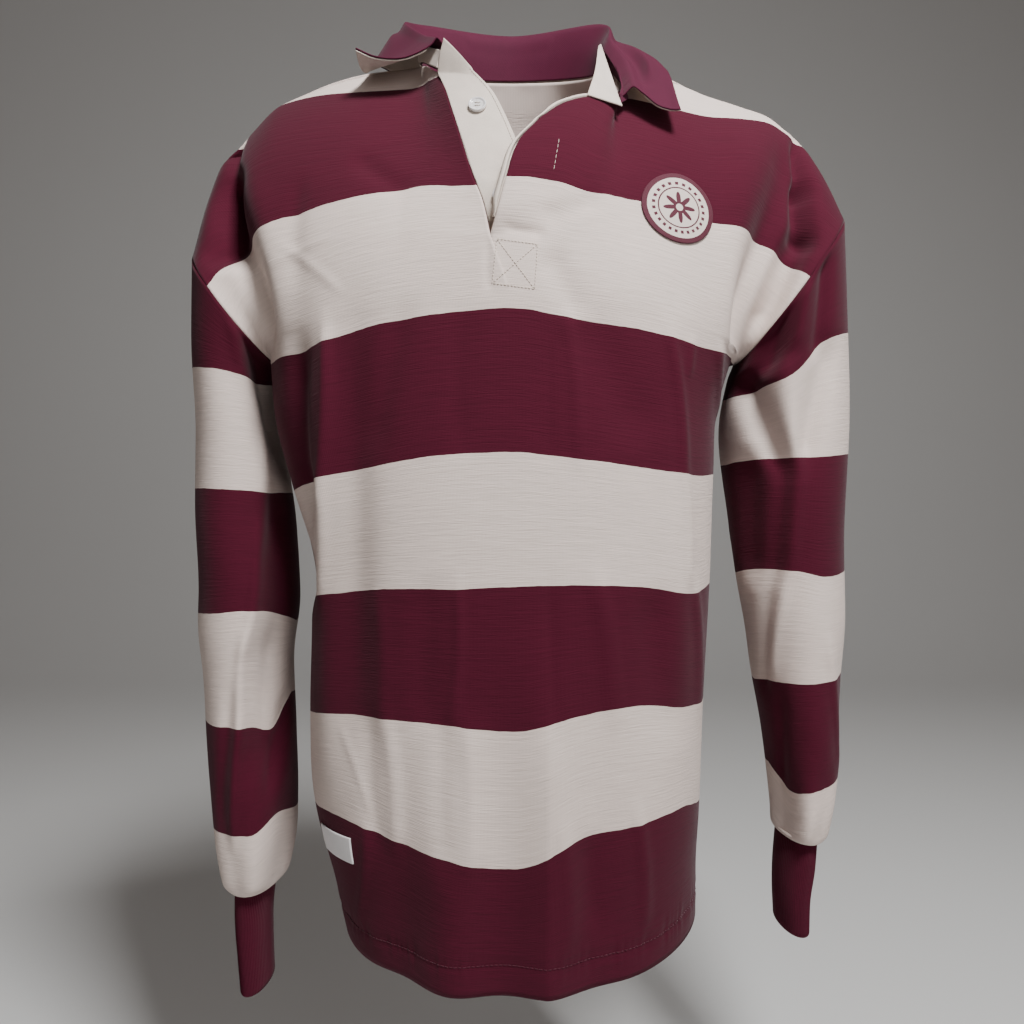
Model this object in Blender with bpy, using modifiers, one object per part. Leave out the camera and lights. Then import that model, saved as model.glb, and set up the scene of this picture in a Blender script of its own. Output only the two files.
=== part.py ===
"""Hooped long-sleeved jersey with a collar and a half placket, in the form it keeps when worn.

The frame's origin is at the base of the neck, level with the points where the shoulder seams
meet the collar. +Z is up, the front faces -Y and the wearer's left arm is at +X.
Every cut piece is an open surface, worked out row by row from the sizes below, with a Solidify
wall on its inner side.
"""

import math

import bmesh
import bpy
import numpy as np
from mathutils import Matrix, Vector

CLOTH = 0.0016          # wall of the body and the sleeves
COLLAR_CLOTH = 0.0010   # each of the collar's two layers
TRIM_CLOTH = 0.0010     # facings, label and tapes
SEAM_GAP = 0.0005       # free space at each seam
HOOP = 0.103            # height of one colour band
ARMPIT_HEIGHT = 0.505   # along the cloth, above the hem
SLIT_FOOT_HEIGHT = 0.565
NECK_COLUMN = {(-1, -1): 0.30, (1, -1): 0.40, (-1, 1): 0.30, (1, 1): 0.30}  # see top_edge
VENT_HEIGHT = 0.055
VENT_OPENING = 0.0045
BUTTON_RADIUS = 0.0070
BUTTON_THICKNESS = 0.0026
BADGE_RADIUS = 0.030

# The rings of the trunk. height: along the cloth above the hem. front_z, left_z, right_z: level
# of that ring at the middle of the front and at the side seams. left, right: half widths.
# front, back: depths. corner: exponent of the ring's outline, 2 for an ellipse.
TRUNK_COLUMNS = ("height", "front_z", "left_z", "right_z", "left", "right", "front", "back", "corner")
TRUNK = (
    (0.000, -0.736, -0.724, -0.714, 0.143, 0.158, 0.130, 0.112, 2.15),
    (0.045, -0.690, -0.679, -0.673, 0.153, 0.158, 0.130, 0.112, 2.2),
    (0.093, -0.642, -0.632, -0.630, 0.166, 0.160, 0.131, 0.112, 2.3),
    (0.196, -0.539, -0.552, -0.537, 0.172, 0.163, 0.132, 0.113, 2.4),
    (0.299, -0.434, -0.450, -0.441, 0.170, 0.168, 0.131, 0.113, 2.5),
    (0.402, -0.335, -0.358, -0.346, 0.188, 0.171, 0.130, 0.114, 2.6),
    (0.455, -0.281, -0.304, -0.298, 0.201, 0.174, 0.128, 0.115, 2.6),
    (0.505, -0.228, -0.250, -0.249, 0.206, 0.188, 0.126, 0.116, 2.6),
)

# Shoulder seam from the neck outwards, as x outward and z, for the side at -X and the one at +X.
SHOULDER = {
    -1: ((0.078, 0.010), (0.105, 0.0085), (0.1325, 0.0045), (0.1605, -0.0036), (0.1868, -0.015),
         (0.2035, -0.0228), (0.2294, -0.0483), (0.2520, -0.0711), (0.2614, -0.0957),
         (0.2675, -0.1237), (0.2737, -0.160)),
    1: ((0.080, 0.006), (0.105, 0.006), (0.1303, 0.0035), (0.1655, -0.0123), (0.200, -0.0237),
        (0.2263, -0.0338), (0.2377, -0.043), (0.2518, -0.0548), (0.264, -0.0731),
        (0.2746, -0.095), (0.286, -0.1264)),
}
# Armhole ring: centre (x outward, y, z), its half axis to the shoulder tip and its half depth.
ARMHOLE = {
    -1: ((0.2400, 0.0, -0.205), (0.0337, 0.0450), 0.066),
    1: ((0.2415, 0.0, -0.188), (0.0445, 0.0616), 0.064),
}
# Neck edge of each front half, from the top of the slit to the shoulder seam.
NECK_EDGE = {
    -1: ((-0.0584, -0.0620, -0.0236), (-0.0660, -0.0500, -0.0150), (-0.0735, -0.0300, -0.0020),
         (-0.078, 0.0, 0.010)),
    1: ((0.0226, -0.0985, -0.0745), (0.0430, -0.0840, -0.0565), (0.0672, -0.0730, -0.0480),
        (0.0870, -0.0690, -0.0530), (0.0940, -0.0560, -0.0430), (0.0915, -0.0340, -0.0215),
        (0.080, 0.0, 0.006)),
}
BACK_NECK = ((0.078, 0.0, 0.008), (0.068, 0.036, 0.018), (0.040, 0.060, 0.0265), (0.0, 0.068, 0.029))
# Edge of each front half along the open slit, from its foot up. height: along the cloth.
SLIT_COLUMNS = ("height", "x", "y", "z")
SLIT_EDGE = {
    -1: ((0.565, -0.0160, -0.1250, -0.1735), (0.600, -0.0225, -0.1190, -0.1450),
         (0.625, -0.0300, -0.1120, -0.1240), (0.660, -0.0400, -0.0990, -0.0900),
         (0.700, -0.0510, -0.0800, -0.0520), (0.730, -0.0584, -0.0620, -0.0236)),
    1: ((0.565, -0.0160, -0.1250, -0.1735), (0.590, -0.0100, -0.1288, -0.1540),
        (0.615, -0.0038, -0.1262, -0.1300), (0.645, 0.0050, -0.1155, -0.1000),
        (0.672, 0.0226, -0.0985, -0.0745)),
}

# Sleeve rings. x: centre, outward. y, z: centre. half_x, half_z: half axis across the arm, from
# its inner to its outer side. depth: half depth.
SLEEVE_COLUMNS = ("along", "x", "y", "z", "half_x", "half_z", "depth")
SLEEVE = {
    -1: (
        (0.000, 0.2400, 0.000, -0.2050, 0.0337, 0.0450, 0.0660),
        (0.060, 0.2432, 0.008, -0.2560, 0.0335, 0.0150, 0.0665),
        (0.130, 0.2405, 0.013, -0.3180, 0.0345, 0.0040, 0.0665),
        (0.210, 0.2355, 0.015, -0.3980, 0.0390, 0.0010, 0.0655),
        (0.270, 0.2320, 0.015, -0.4600, 0.0420, 0.0000, 0.0640),
        (0.330, 0.2330, 0.015, -0.5150, 0.0372, 0.0000, 0.0610),
        (0.390, 0.2310, 0.014, -0.5750, 0.0366, 0.0000, 0.0590),
        (0.450, 0.2278, 0.012, -0.6320, 0.0345, 0.0000, 0.0560),
        (0.490, 0.2262, 0.010, -0.6750, 0.0290, 0.0000, 0.0520),
        (0.512, 0.2262, 0.009, -0.6980, 0.0235, 0.0000, 0.0460),
        (0.524, 0.2262, 0.009, -0.7035, 0.0195, 0.0000, 0.0410),
        (0.532, 0.2262, 0.009, -0.6995, 0.0172, 0.0000, 0.0385),
    ),
    1: (
        (0.000, 0.2415, 0.000, -0.1880, 0.0445, 0.0616, 0.0640),
        (0.060, 0.2420, 0.008, -0.2420, 0.0500, 0.0230, 0.0660),
        (0.130, 0.2405, 0.013, -0.3050, 0.0530, 0.0060, 0.0650),
        (0.210, 0.2435, 0.015, -0.3880, 0.0490, 0.0010, 0.0640),
        (0.270, 0.2465, 0.015, -0.4500, 0.0445, 0.0000, 0.0620),
        (0.330, 0.2500, 0.015, -0.5080, 0.0380, 0.0000, 0.0600),
        (0.390, 0.2545, 0.014, -0.5700, 0.0300, 0.0000, 0.0580),
        (0.440, 0.2560, 0.012, -0.6150, 0.0245, 0.0000, 0.0540),
        (0.465, 0.2545, 0.010, -0.6420, 0.0205, 0.0000, 0.0500),
        (0.480, 0.2530, 0.009, -0.6560, 0.0190, 0.0000, 0.0450),
        (0.490, 0.2525, 0.009, -0.6600, 0.0175, 0.0000, 0.0410),
        (0.498, 0.2520, 0.009, -0.6560, 0.0165, 0.0000, 0.0390),
    ),
}
# Cuff rings, as the sleeve rings, from the sleeve's end down.
CUFF_COLUMNS = ("along", "x", "y", "z", "half_x", "depth")
CUFF = {
    -1: ((0.00, 0.2262, 0.009, -0.6990, 0.0159, 0.0372), (0.03, 0.2275, 0.007, -0.7300, 0.0138, 0.0360),
         (0.06, 0.2255, 0.004, -0.7600, 0.0126, 0.0345), (0.088, 0.2232, 0.002, -0.7880, 0.0118, 0.0335)),
    1: ((0.00, 0.2520, 0.009, -0.6555, 0.0145, 0.0370), (0.03, 0.2490, 0.007, -0.6850, 0.0150, 0.0360),
        (0.06, 0.2455, 0.004, -0.7130, 0.0132, 0.0345), (0.084, 0.2450, 0.002, -0.7380, 0.0122, 0.0335)),
}

# The collar, station by station from its end at the slit at -X, round the back, to its other end.
# Its seam follows the neck edge. fold: top of the stand. edge: outer edge of the fall.
COLLAR_STATIONS = (0, 0.125, 0.25, 0.375, 0.5, 0.625, 0.75, 0.875, 1)
LAYER_GAP = 0.0005         # between the collar's two layers
COLLAR_LIFT_OFF = 0.0016   # how far the stand starts above the neck edge
COLLAR_FOLD = (
    (-0.0550, -0.0640, 0.0046), (-0.0690, -0.0390, 0.0200), (-0.0890, -0.0020, 0.0510),
    (-0.0790, 0.0420, 0.0730), (0.0, 0.0690, 0.0770), (0.0800, 0.0400, 0.0730),
    (0.0820, -0.0030, 0.0350), (0.0905, -0.0370, -0.0050), (0.0900, -0.0660, -0.0370))
COLLAR_EDGE = (
    (-0.1274, -0.0560, 0.0000), (-0.1270, -0.0280, -0.0040), (-0.1180, 0.0140, 0.0180),
    (-0.0860, 0.0740, 0.0270), (0.0, 0.1050, 0.0240), (0.0880, 0.0740, 0.0270),
    (0.1200, 0.0140, 0.0160), (0.1300, -0.0320, -0.0060), (0.1340, -0.0770, -0.0560))
# Lift of the fall's middle above the straight line from fold to edge, at each station.
FALL_LIFT = (-0.0095, -0.0040, 0.0080, 0.0080, 0.0060, 0.0080, 0.0100, 0.0080, 0.0040)

# Button strip under the open slit. height: along the cloth. free_x, free_y, free_z: its free edge.
STRIP_COLUMNS = ("height", "free_x", "free_y", "free_z")
STRIP = (
    (0.542, 0.0225, -0.1215, -0.1920), (0.565, 0.0210, -0.1195, -0.1730), (0.600, 0.0165, -0.1145, -0.1440),
    (0.635, 0.0100, -0.1065, -0.1150), (0.665, 0.0020, -0.0975, -0.0890), (0.700, -0.0120, -0.0850, -0.0540),
    (0.730, -0.0235, -0.0765, -0.0330), (0.765, -0.0270, -0.0745, -0.0255))
STRIP_TOP = (-0.0500, -0.0675, 0.0020)
FACING_RIM = 0.0045     # the facing shows this far past the slit's edge
FACING_DEPTH = 0.0038   # how far the facing lies behind the panel's face
FACING_SEAT = 0.0029      # and where its inner edge is sewn down
STAND_FACING = {
    "neck": ((0.0625, -0.0745, -0.0420), (0.0690, -0.0420, -0.0120), (0.0745, -0.0140, 0.0230)),
    "collar": ((0.0872, -0.0745, -0.0515), (0.0830, -0.0450, -0.0190), (0.0765, -0.0150, 0.0240)),
}
BUTTONS = {"button_top": (0.690, 0.52), "button_lower": (0.603, 0.38)}
LABEL = {"x": -0.1395, "z": -0.6405, "width": 0.046, "height": 0.021}
BADGE = {"x": 0.1290, "z": -0.1440}

MAROON = (0.118, 0.013, 0.038, 1.0)
CREAM = (0.58, 0.52, 0.46, 1.0)
WHITE = (0.74, 0.73, 0.76, 1.0)
PEARL = (0.66, 0.66, 0.68, 1.0)


def spline(xs, ys, x):
    """Smooth curve through the values ys at xs, read at x. It never overshoots a flat run."""
    xs, ys = np.asarray(xs, float), np.asarray(ys, float)
    x = np.clip(np.asarray(x, float), xs[0], xs[-1])
    flat = ys.reshape(len(xs), -1)
    step = np.diff(xs)[:, None]
    slope = np.diff(flat, axis=0) / step
    tangent = np.empty_like(flat)
    tangent[0], tangent[-1] = slope[0], slope[-1]
    before, after = step[:-1], step[1:]
    tangent[1:-1] = (slope[:-1] * after + slope[1:] * before) / (before + after)
    turning = slope[:-1] * slope[1:] <= 0
    tangent[1:-1][turning] *= 0.35
    i = np.clip(np.searchsorted(xs, x, side="right") - 1, 0, len(xs) - 2)
    h = step[i, 0]
    s = ((x - xs[i]) / h)[..., None]
    h = h[..., None]
    value = (
        (1 + 2 * s) * (1 - s) ** 2 * flat[i]
        + s * (1 - s) ** 2 * h * tangent[i]
        + s * s * (3 - 2 * s) * flat[i + 1]
        + s * s * (s - 1) * h * tangent[i + 1]
    )
    return value.reshape(x.shape + ys.shape[1:])


def read(table, columns, name, x):
    """A named column of a table, read at x of its first column."""
    return spline([row[0] for row in table], [row[columns.index(name)] for row in table], x)


def along(points, share):
    """The curve through the points, read at a share of its length."""
    points = np.asarray(points, float)
    length = np.r_[0, np.cumsum(np.linalg.norm(np.diff(points, axis=0), axis=1))]
    return spline(length / length[-1], points, share)


def smoothstep(low, high, x):
    t = np.clip((np.asarray(x, float) - low) / (high - low), 0, 1)
    return t * t * (3 - 2 * t)


def ridge(x, middle, width):
    """A soft crest of height 1 at middle."""
    return np.exp(-(((np.asarray(x, float) - middle) / width) ** 2))


def trunk_ring(height, share, side, face):
    """Point of the trunk below the armpits. share: 0 at the middle, 1 at the side seam."""
    height, share = np.broadcast_arrays(np.asarray(height, float), np.asarray(share, float))
    half = read(TRUNK, TRUNK_COLUMNS, "left" if side < 0 else "right", height)
    depth = read(TRUNK, TRUNK_COLUMNS, "front" if face < 0 else "back", height)
    corner = read(TRUNK, TRUNK_COLUMNS, "corner", height)
    middle_z = read(TRUNK, TRUNK_COLUMNS, "front_z", height)
    side_z = read(TRUNK, TRUNK_COLUMNS, "left_z" if side < 0 else "right_z", height)
    angle = np.linspace(0, math.pi / 2, 121)
    shape = np.sin(angle)[:, None] ** (2 / corner.ravel()), np.cos(angle)[:, None] ** (2 / corner.ravel())
    x, y = shape[0] * half.ravel(), shape[1] * depth.ravel()
    run = np.r_[np.zeros((1, x.shape[1])), np.cumsum(np.hypot(np.diff(x, axis=0), np.diff(y, axis=0)), axis=0)]
    run /= run[-1]
    wanted = share.ravel()
    out_x = np.array([np.interp(w, run[:, k], x[:, k]) for k, w in enumerate(wanted)])
    out_y = np.array([np.interp(w, run[:, k], y[:, k]) for k, w in enumerate(wanted)])
    out_x, out_y = out_x.reshape(share.shape), out_y.reshape(share.shape)
    if face > 0:
        middle_z = 0.35 * middle_z + 0.65 * (
            read(TRUNK, TRUNK_COLUMNS, "left_z", height) + read(TRUNK, TRUNK_COLUMNS, "right_z", height)) / 2
    z = middle_z + (side_z - middle_z) * smoothstep(0.15, 1.1, share) / smoothstep(0.15, 1.1, 1)
    return np.stack([side * out_x, face * out_y, z], axis=-1)


def trunk_folds(x, height, face):
    """Soft lengthwise folds of the hanging cloth, as a push outwards in metres."""
    low = smoothstep(0.50, 0.10, height)
    if face > 0:
        return (0.0060 * ridge(x, -0.085, 0.022) + 0.0070 * ridge(x, 0.020, 0.026)
                - 0.0050 * ridge(x, -0.035, 0.022) - 0.0060 * ridge(x, 0.085, 0.024)) * low
    rise = smoothstep(0.56, 0.42, height)
    return (
        0.0050 * ridge(x, -0.146, 0.013) * smoothstep(0.10, 0.24, height) * rise
        - 0.0050 * ridge(x, -0.120, 0.016) * smoothstep(0.12, 0.26, height) * rise
        + 0.0065 * ridge(x, 0.024, 0.018) * smoothstep(0.30, 0.16, height)
        - 0.0055 * ridge(x, -0.004, 0.018) * smoothstep(0.26, 0.08, height)
        + 0.0055 * ridge(x, -0.045, 0.020) * smoothstep(0.24, 0.06, height)
        - 0.0050 * ridge(x, -0.086, 0.020) * smoothstep(0.24, 0.04, height)
        - 0.0040 * ridge(x, 0.066, 0.020) * smoothstep(0.30, 0.08, height)
        + 0.0035 * ridge(x, 0.126, 0.016) * smoothstep(0.10, 0.30, height) * rise
    )


def armhole(side, share):
    """Edge of the armhole over the front: 0 at the armpit, 1 at the shoulder tip."""
    (x, y, z), (half_x, half_z), depth = ARMHOLE[side]
    turn = math.pi * np.asarray(share, float)
    return np.stack([
        side * (x - np.cos(turn) * half_x), y - np.sin(turn) * depth, z - np.cos(turn) * half_z
    ], axis=-1)


def neck_loop(station):
    """The neck edge as the collar follows it, from the slit's edge at -X round to the other end."""
    right = NECK_EDGE[1][3:]
    points = [*NECK_EDGE[-1], *[(-x, y, z) for x, y, z in BACK_NECK[1:]],
              *BACK_NECK[2:0:-1], *right[::-1]]
    at = (0, 0.07, 0.15, 0.25, 0.34, 0.42, 0.50, 0.58, 0.66, 0.75, 0.875, 0.95, 1.0)
    return spline(at, points, station) + np.array([0, 0, COLLAR_LIFT_OFF])


def top_edge(side, share, face):
    """Upper edge of a front or back half, from the middle to the shoulder tip."""
    share = np.asarray(share, float)
    neck = np.asarray(NECK_EDGE[side]) if face < 0 else np.asarray(BACK_NECK[::-1]) * (side, 1, 1)
    if face > 0:
        neck[-1] = NECK_EDGE[side][-1]
    seam = np.array([(side * x, 0.0, z) for x, z in SHOULDER[side]])
    last = NECK_COLUMN[side, face]
    at_neck = along(neck, share / last)
    at_seam = along(seam, (share - last) / (1 - last))
    return np.where((share < last)[..., None], at_neck, at_seam)


def top_height(side, face, share):
    """Height of that edge along the cloth."""
    first = 0.745 if face > 0 else SLIT_EDGE[side][-1][0]
    last = NECK_COLUMN[side, face]
    return spline((0, last, last + 0.15, 0.66, 0.82, 1), (first, 0.765, 0.757, 0.735, 0.715, 0.697), share)


def foot_rise(side):
    """The slit's foot, as the rise of a front half's innermost column."""
    return (SLIT_FOOT_HEIGHT - ARMPIT_HEIGHT) / (SLIT_EDGE[side][-1][0] - ARMPIT_HEIGHT)


def half_panel(side, face, share, rise):
    """Point of a front or back half. rise: -1 at the hem, 0 at the armpit, 1 at the upper edge."""
    share, rise = np.broadcast_arrays(np.asarray(share, float), np.asarray(rise, float))
    height = ARMPIT_HEIGHT * (1 + np.minimum(rise, 0))
    base = trunk_ring(height, share, side, face)
    vent = smoothstep(VENT_HEIGHT, 0, height) * smoothstep(0.90, 1, share)
    base[..., 1] += face * VENT_OPENING * vent
    up = np.clip(rise, 0, 1)
    length = top_height(side, face, share) - ARMPIT_HEIGHT
    top = top_edge(side, share, face)
    s = up ** 1.12
    near_neck = smoothstep(NECK_COLUMN[side, face] + 0.08, 0.0, share)[..., None]
    start = np.stack([0 * share, 0 * share + face * 0.02, 0.98 + 0 * share], axis=-1)
    over = np.array([0.0, -face * 0.80, 0.62]) * (1 - near_neck) + np.array([0.0, -face * 0.52, 0.85]) * near_neck
    reach = length[..., None]
    column = lambda s, a, b: ((1 + 2 * s) * (1 - s) ** 2 * a + s * (1 - s) ** 2 * 1.15 * reach * start
                              + s * s * (3 - 2 * s) * b + s * s * (s - 1) * 1.15 * reach * over)
    upper = column(s[..., None], base, top)
    edge = armhole(side, up) * (1, -face, 1)
    side_column = column(s[..., None], trunk_ring(ARMPIT_HEIGHT, 1.0 + 0 * share, side, face),
                         top_edge(side, 1.0 + 0 * share, face))
    upper += (share ** 6)[..., None] * (edge - side_column)
    if face < 0:
        at = ARMPIT_HEIGHT + up * (top_height(side, face, 0.0) - ARMPIT_HEIGHT)
        slit = np.stack([read(SLIT_EDGE[side], SLIT_COLUMNS, c, at) for c in "xyz"], axis=-1)
        foot = smoothstep(ARMPIT_HEIGHT, SLIT_FOOT_HEIGHT, at)[..., None]
        middle = column(s[..., None], trunk_ring(ARMPIT_HEIGHT, 0 * share, side, face),
                        top_edge(side, 0 * share, face))
        below = middle + foot * (np.array(SLIT_EDGE[-1][0][1:]) - column(
            np.full_like(s, foot_rise(side) ** 1.12)[..., None],
            trunk_ring(ARMPIT_HEIGHT, 0 * share, side, face), top_edge(side, 0 * share, face)))
        line = np.where((at < SLIT_FOOT_HEIGHT)[..., None], below, slit)
        upper += ((1 - share) ** 3)[..., None] * (line - middle)
    point = np.where((rise > 0)[..., None], upper, base)
    return point


def panel(side, face, share, rise):
    """A front or back half with its folds."""
    share, rise = np.broadcast_arrays(np.asarray(share, float), np.asarray(rise, float))
    point = half_panel(side, face, share, rise)
    d = 4e-3
    a, b = np.clip(share + d, 0, 1), np.clip(share - d, 0, 1)
    across = half_panel(side, face, a, rise) - half_panel(side, face, b, rise)
    middle = (share < d) & ((rise < 0.2) | (face > 0))
    beyond = half_panel(side, face, a, rise) - half_panel(-side, face, np.clip(d - share, 0, 1), rise)
    across = np.where(middle[..., None], beyond, across)
    c, e = np.clip(rise + d, -1, 1), np.clip(rise - d, -1, 1)
    upward = half_panel(side, face, share, c) - half_panel(side, face, share, e)
    out = np.cross(across, upward) * (-side * face)
    out /= np.linalg.norm(out, axis=-1, keepdims=True) + 1e-12
    height = np.where(rise < 0, ARMPIT_HEIGHT * (1 + rise),
                      ARMPIT_HEIGHT + rise * (top_height(side, face, share) - ARMPIT_HEIGHT))
    push = trunk_folds(point[..., 0], height, face) * smoothstep(0.02, 0.10, 1 - share)
    groove = ridge(share, 0.80, 0.055) * smoothstep(-0.10, 0.25, rise) * smoothstep(1.0, 0.70, rise)
    push = push - 0.0130 * groove
    roll = ridge(share, 0.69, 0.05) * smoothstep(-0.2, 0.2, rise) * smoothstep(0.9, 0.5, rise)
    push = push + 0.0040 * roll
    return point + out * push[..., None], out


def sleeve_ring(side, at, turn, table, columns):
    """Point of a sleeve or cuff ring. turn: 0 to 1 round the arm, from its underside forward."""
    value = {name: read(table, columns, name, at) for name in columns[1:]}
    angle = 2 * math.pi * np.asarray(turn, float)
    half_z = value.get("half_z", 0.0)
    return np.stack([
        side * (value["x"] - np.cos(angle) * value["half_x"]),
        value["y"] - np.sin(angle) * value["depth"],
        value["z"] - np.cos(angle) * half_z,
    ], axis=-1)


def collar_point(station, across):
    """Point of the collar's upper side. across: 0 at the seam, 0.42 at the fold, 1 at the edge."""
    station, across = np.broadcast_arrays(np.asarray(station, float), np.asarray(across, float))
    seam = neck_loop(station)
    fold, edge, lift = (spline(COLLAR_STATIONS, ring, station)
                        for ring in (COLLAR_FOLD, COLLAR_EDGE, FALL_LIFT))
    up = np.array([0, 0, 1.0])
    outward = (edge - fold) * (1, 1, 0)
    outward /= np.linalg.norm(outward, axis=-1, keepdims=True)
    rise = fold - seam
    drop = np.clip(0.40 * np.linalg.norm(rise, axis=-1, keepdims=True), 0.0025, 0.0068)
    half = 0.0055 + 0.0020 * smoothstep(0.72, 0.85, station)[..., None]
    stand_mid = seam + 0.5 * rise - 0.0015 * outward
    fold_in = fold - drop * up
    fold_top = fold + half * outward
    fold_out = fold + 2 * half * outward - 0.0056 * up
    fall = edge - fold_out
    fall_a = fold_out + 0.40 * fall + lift[..., None] * up
    fall_b = fold_out + 0.72 * fall + 0.8 * lift[..., None] * up
    knots = (0.0, 0.18, 0.34, 0.42, 0.50, 0.67, 0.82, 1.0)
    rows = np.stack([seam, stand_mid, fold_in, fold_top, fold_out, fall_a, fall_b, edge])
    flat = rows.reshape(len(knots), -1, 3)
    out = np.array([spline(knots, flat[:, k], a) for k, a in enumerate(across.ravel())])
    return out.reshape(across.shape + (3,))


def grid_surface(name, columns, rows, place):
    """An open sheet: a grid whose corners place() moves onto the form."""
    bm = bmesh.new()
    bmesh.ops.create_grid(bm, x_segments=columns, y_segments=rows, size=0.5)
    flat = np.array([v.co[:] for v in bm.verts])
    moved = place(np.clip(flat[:, 0] + 0.5, 0, 1), np.clip(flat[:, 1] + 0.5, 0, 1))
    for vert, co in zip(bm.verts, moved):
        vert.co = co
    return bm


def join(target, other):
    """Adds another sheet's faces to a sheet and sews the points that they share."""
    bmesh.ops.reverse_faces(other, faces=other.faces)
    known = {v: target.verts.new(v.co) for v in other.verts}
    for face in other.faces:
        target.faces.new([known[v] for v in face.verts])
    other.free()
    bmesh.ops.remove_doubles(target, verts=target.verts, dist=1e-5)


def material(name, colour, roughness):
    made = bpy.data.materials.new(name)
    made.use_nodes = True
    shader = made.node_tree.nodes["Principled BSDF"]
    shader.inputs["Base Color"].default_value = colour
    shader.inputs["Roughness"].default_value = roughness
    shader.inputs["Metallic"].default_value = 0.0
    return made


def piece(name, bm, colour, wall, collection, inward, roughness=0.9, square_seams=False):
    """A cloth object: the sheet, facing away from the wearer, with its wall on the inner side."""
    bm.normal_update()
    mesh = bpy.data.meshes.new(name)
    flip = sum(f.normal.dot(inward(f.calc_center_median())) * f.calc_area() for f in bm.faces) > 0
    if flip:
        bmesh.ops.reverse_faces(bm, faces=bm.faces)
    if square_seams:
        seam_wall(bm, wall)
        wall = 0
    bm.to_mesh(mesh)
    bm.free()
    mesh.shade_smooth()
    mesh.materials.append(material(name, colour, roughness))
    obj = bpy.data.objects.new(name, mesh)
    collection.objects.link(obj)
    if wall:
        solid = obj.modifiers.new("Wall", "SOLIDIFY")
        solid.thickness = wall
        solid.offset = -1
        solid.use_even_offset = False
    return obj


def at_armhole(co):
    """(how far round from the armpit, direction away from the armhole's middle) of a point on it."""
    side = 1 if co.x > 0 else -1
    (x, y, z), (half_x, half_z), depth = ARMHOLE[side]
    from_middle = co - Vector((side * x, y, z))
    tip = Vector((side * half_x, 0, half_z))
    across = tip.normalized().cross(Vector((0, 1, 0)))
    off = from_middle.dot(across)
    flat = from_middle - across * off
    u, v = flat.dot(tip) / tip.length_squared, flat.y / depth
    if abs(off) > 0.0015 or not 0.9 < math.hypot(u, v) < 1.1:
        return None
    return math.acos(max(-1, min(1, -u))) / math.pi, flat.normalized()


def seam_wall(bm, wall):
    """Gives a sheet its wall. At a seam the walls of both pieces meet along one direction."""
    bm.normal_update()
    rim = [(e.link_loops[0].vert, e.link_loops[0].link_loop_next.vert) for e in bm.edges if e.is_boundary]
    inner = {}
    for vert in list(bm.verts):
        out = vert.normal.copy()
        if vert.is_boundary and abs(vert.co.y) < 0.002:
            out.y = 0
            out.normalize()
        found = at_armhole(vert.co) if vert.is_boundary else None
        if found:
            weight = float(smoothstep(0.12, 0.35, found[0]))
            out = out.lerp(found[1], weight).normalized()
        inner[vert] = bm.verts.new(vert.co - out * wall)
    for face in list(bm.faces):
        bm.faces.new([inner[v] for v in reversed(face.verts)])
    for a, b in rim:
        bm.faces.new((b, a, inner[a], inner[b]))


def to_axis(x, y):
    """Inward direction towards an upright axis."""
    return lambda co: Vector((x, y, co.z)) - co


def build_front(collection):
    edge = SEAM_GAP / 0.40

    def place(side):
        def at(u, v):
            share = u * (1 - edge)
            rise = -1 + v * (2 - 0.6 * SEAM_GAP / 0.20)
            return panel(side, -1, share, rise)[0]
        return at

    bm = grid_surface("front", 16, 24, place(-1))
    join(bm, grid_surface("front", 19, 24, place(1)))
    return piece("front", bm, MAROON, CLOTH, collection, to_axis(0, 0.3), square_seams=True)


def build_back(collection):
    edge = SEAM_GAP / 0.40

    def place(side):
        def at(u, v):
            share = u * (1 - edge)
            rise = -1 + v * (2 - 0.6 * SEAM_GAP / 0.20)
            return panel(side, 1, share, rise)[0]
        return at

    bm = grid_surface("back", 13, 22, place(-1))
    join(bm, grid_surface("back", 13, 22, place(1)))
    return piece("back", bm, MAROON, CLOTH, collection, to_axis(0, -0.3), square_seams=True)


def sleeve_point(side, turn, at):
    """Point of a sleeve with its folds. at: length along the sleeve."""
    point = sleeve_ring(side, at, turn, SLEEVE[side], SLEEVE_COLUMNS)
    centre = np.stack([side * read(SLEEVE[side], SLEEVE_COLUMNS, "x", at),
                       read(SLEEVE[side], SLEEVE_COLUMNS, "y", at), point[..., 2]], axis=-1)
    out = point - centre
    out /= np.linalg.norm(out, axis=-1, keepdims=True)
    angle = 2 * math.pi * np.asarray(turn, float)
    twist = np.sin(2 * angle + 16 * at + side) * smoothstep(0.05, 0.15, at) * smoothstep(0.26, 0.18, at)
    elbow = ridge(at, 0.30, 0.035) * np.cos(angle + 0.6)
    left = SLEEVE[side][-1][0] - at
    blouse = np.cos(5 * angle + 0.7) * smoothstep(0.11, 0.04, left) * smoothstep(0.006, 0.024, left)
    push = 0.0028 * twist - 0.0022 * elbow + 0.0028 * blouse
    return point + out * push[..., None]


def build_sleeve(side, name, collection):
    last = SLEEVE[side][-1][0]

    def place(u, v):
        return sleeve_point(side, u, SEAM_GAP + v ** 0.92 * (last - SEAM_GAP))

    bm = grid_surface(name, 22, 21, place)
    bmesh.ops.remove_doubles(bm, verts=bm.verts, dist=1e-6)
    return piece(name, bm, MAROON, CLOTH, collection, to_axis(side * 0.238, 0.012), square_seams=True)


def build_cuff(side, name, collection):
    last = CUFF[side][-1][0]

    def place(u, v):
        return sleeve_ring(side, v * last, u, CUFF[side], CUFF_COLUMNS)

    bm = grid_surface(name, 28, 4, place)
    bmesh.ops.remove_doubles(bm, verts=bm.verts, dist=1e-6)
    return piece(name, bm, MAROON, CLOTH, collection, to_axis(side * 0.2262, 0.006))


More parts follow.
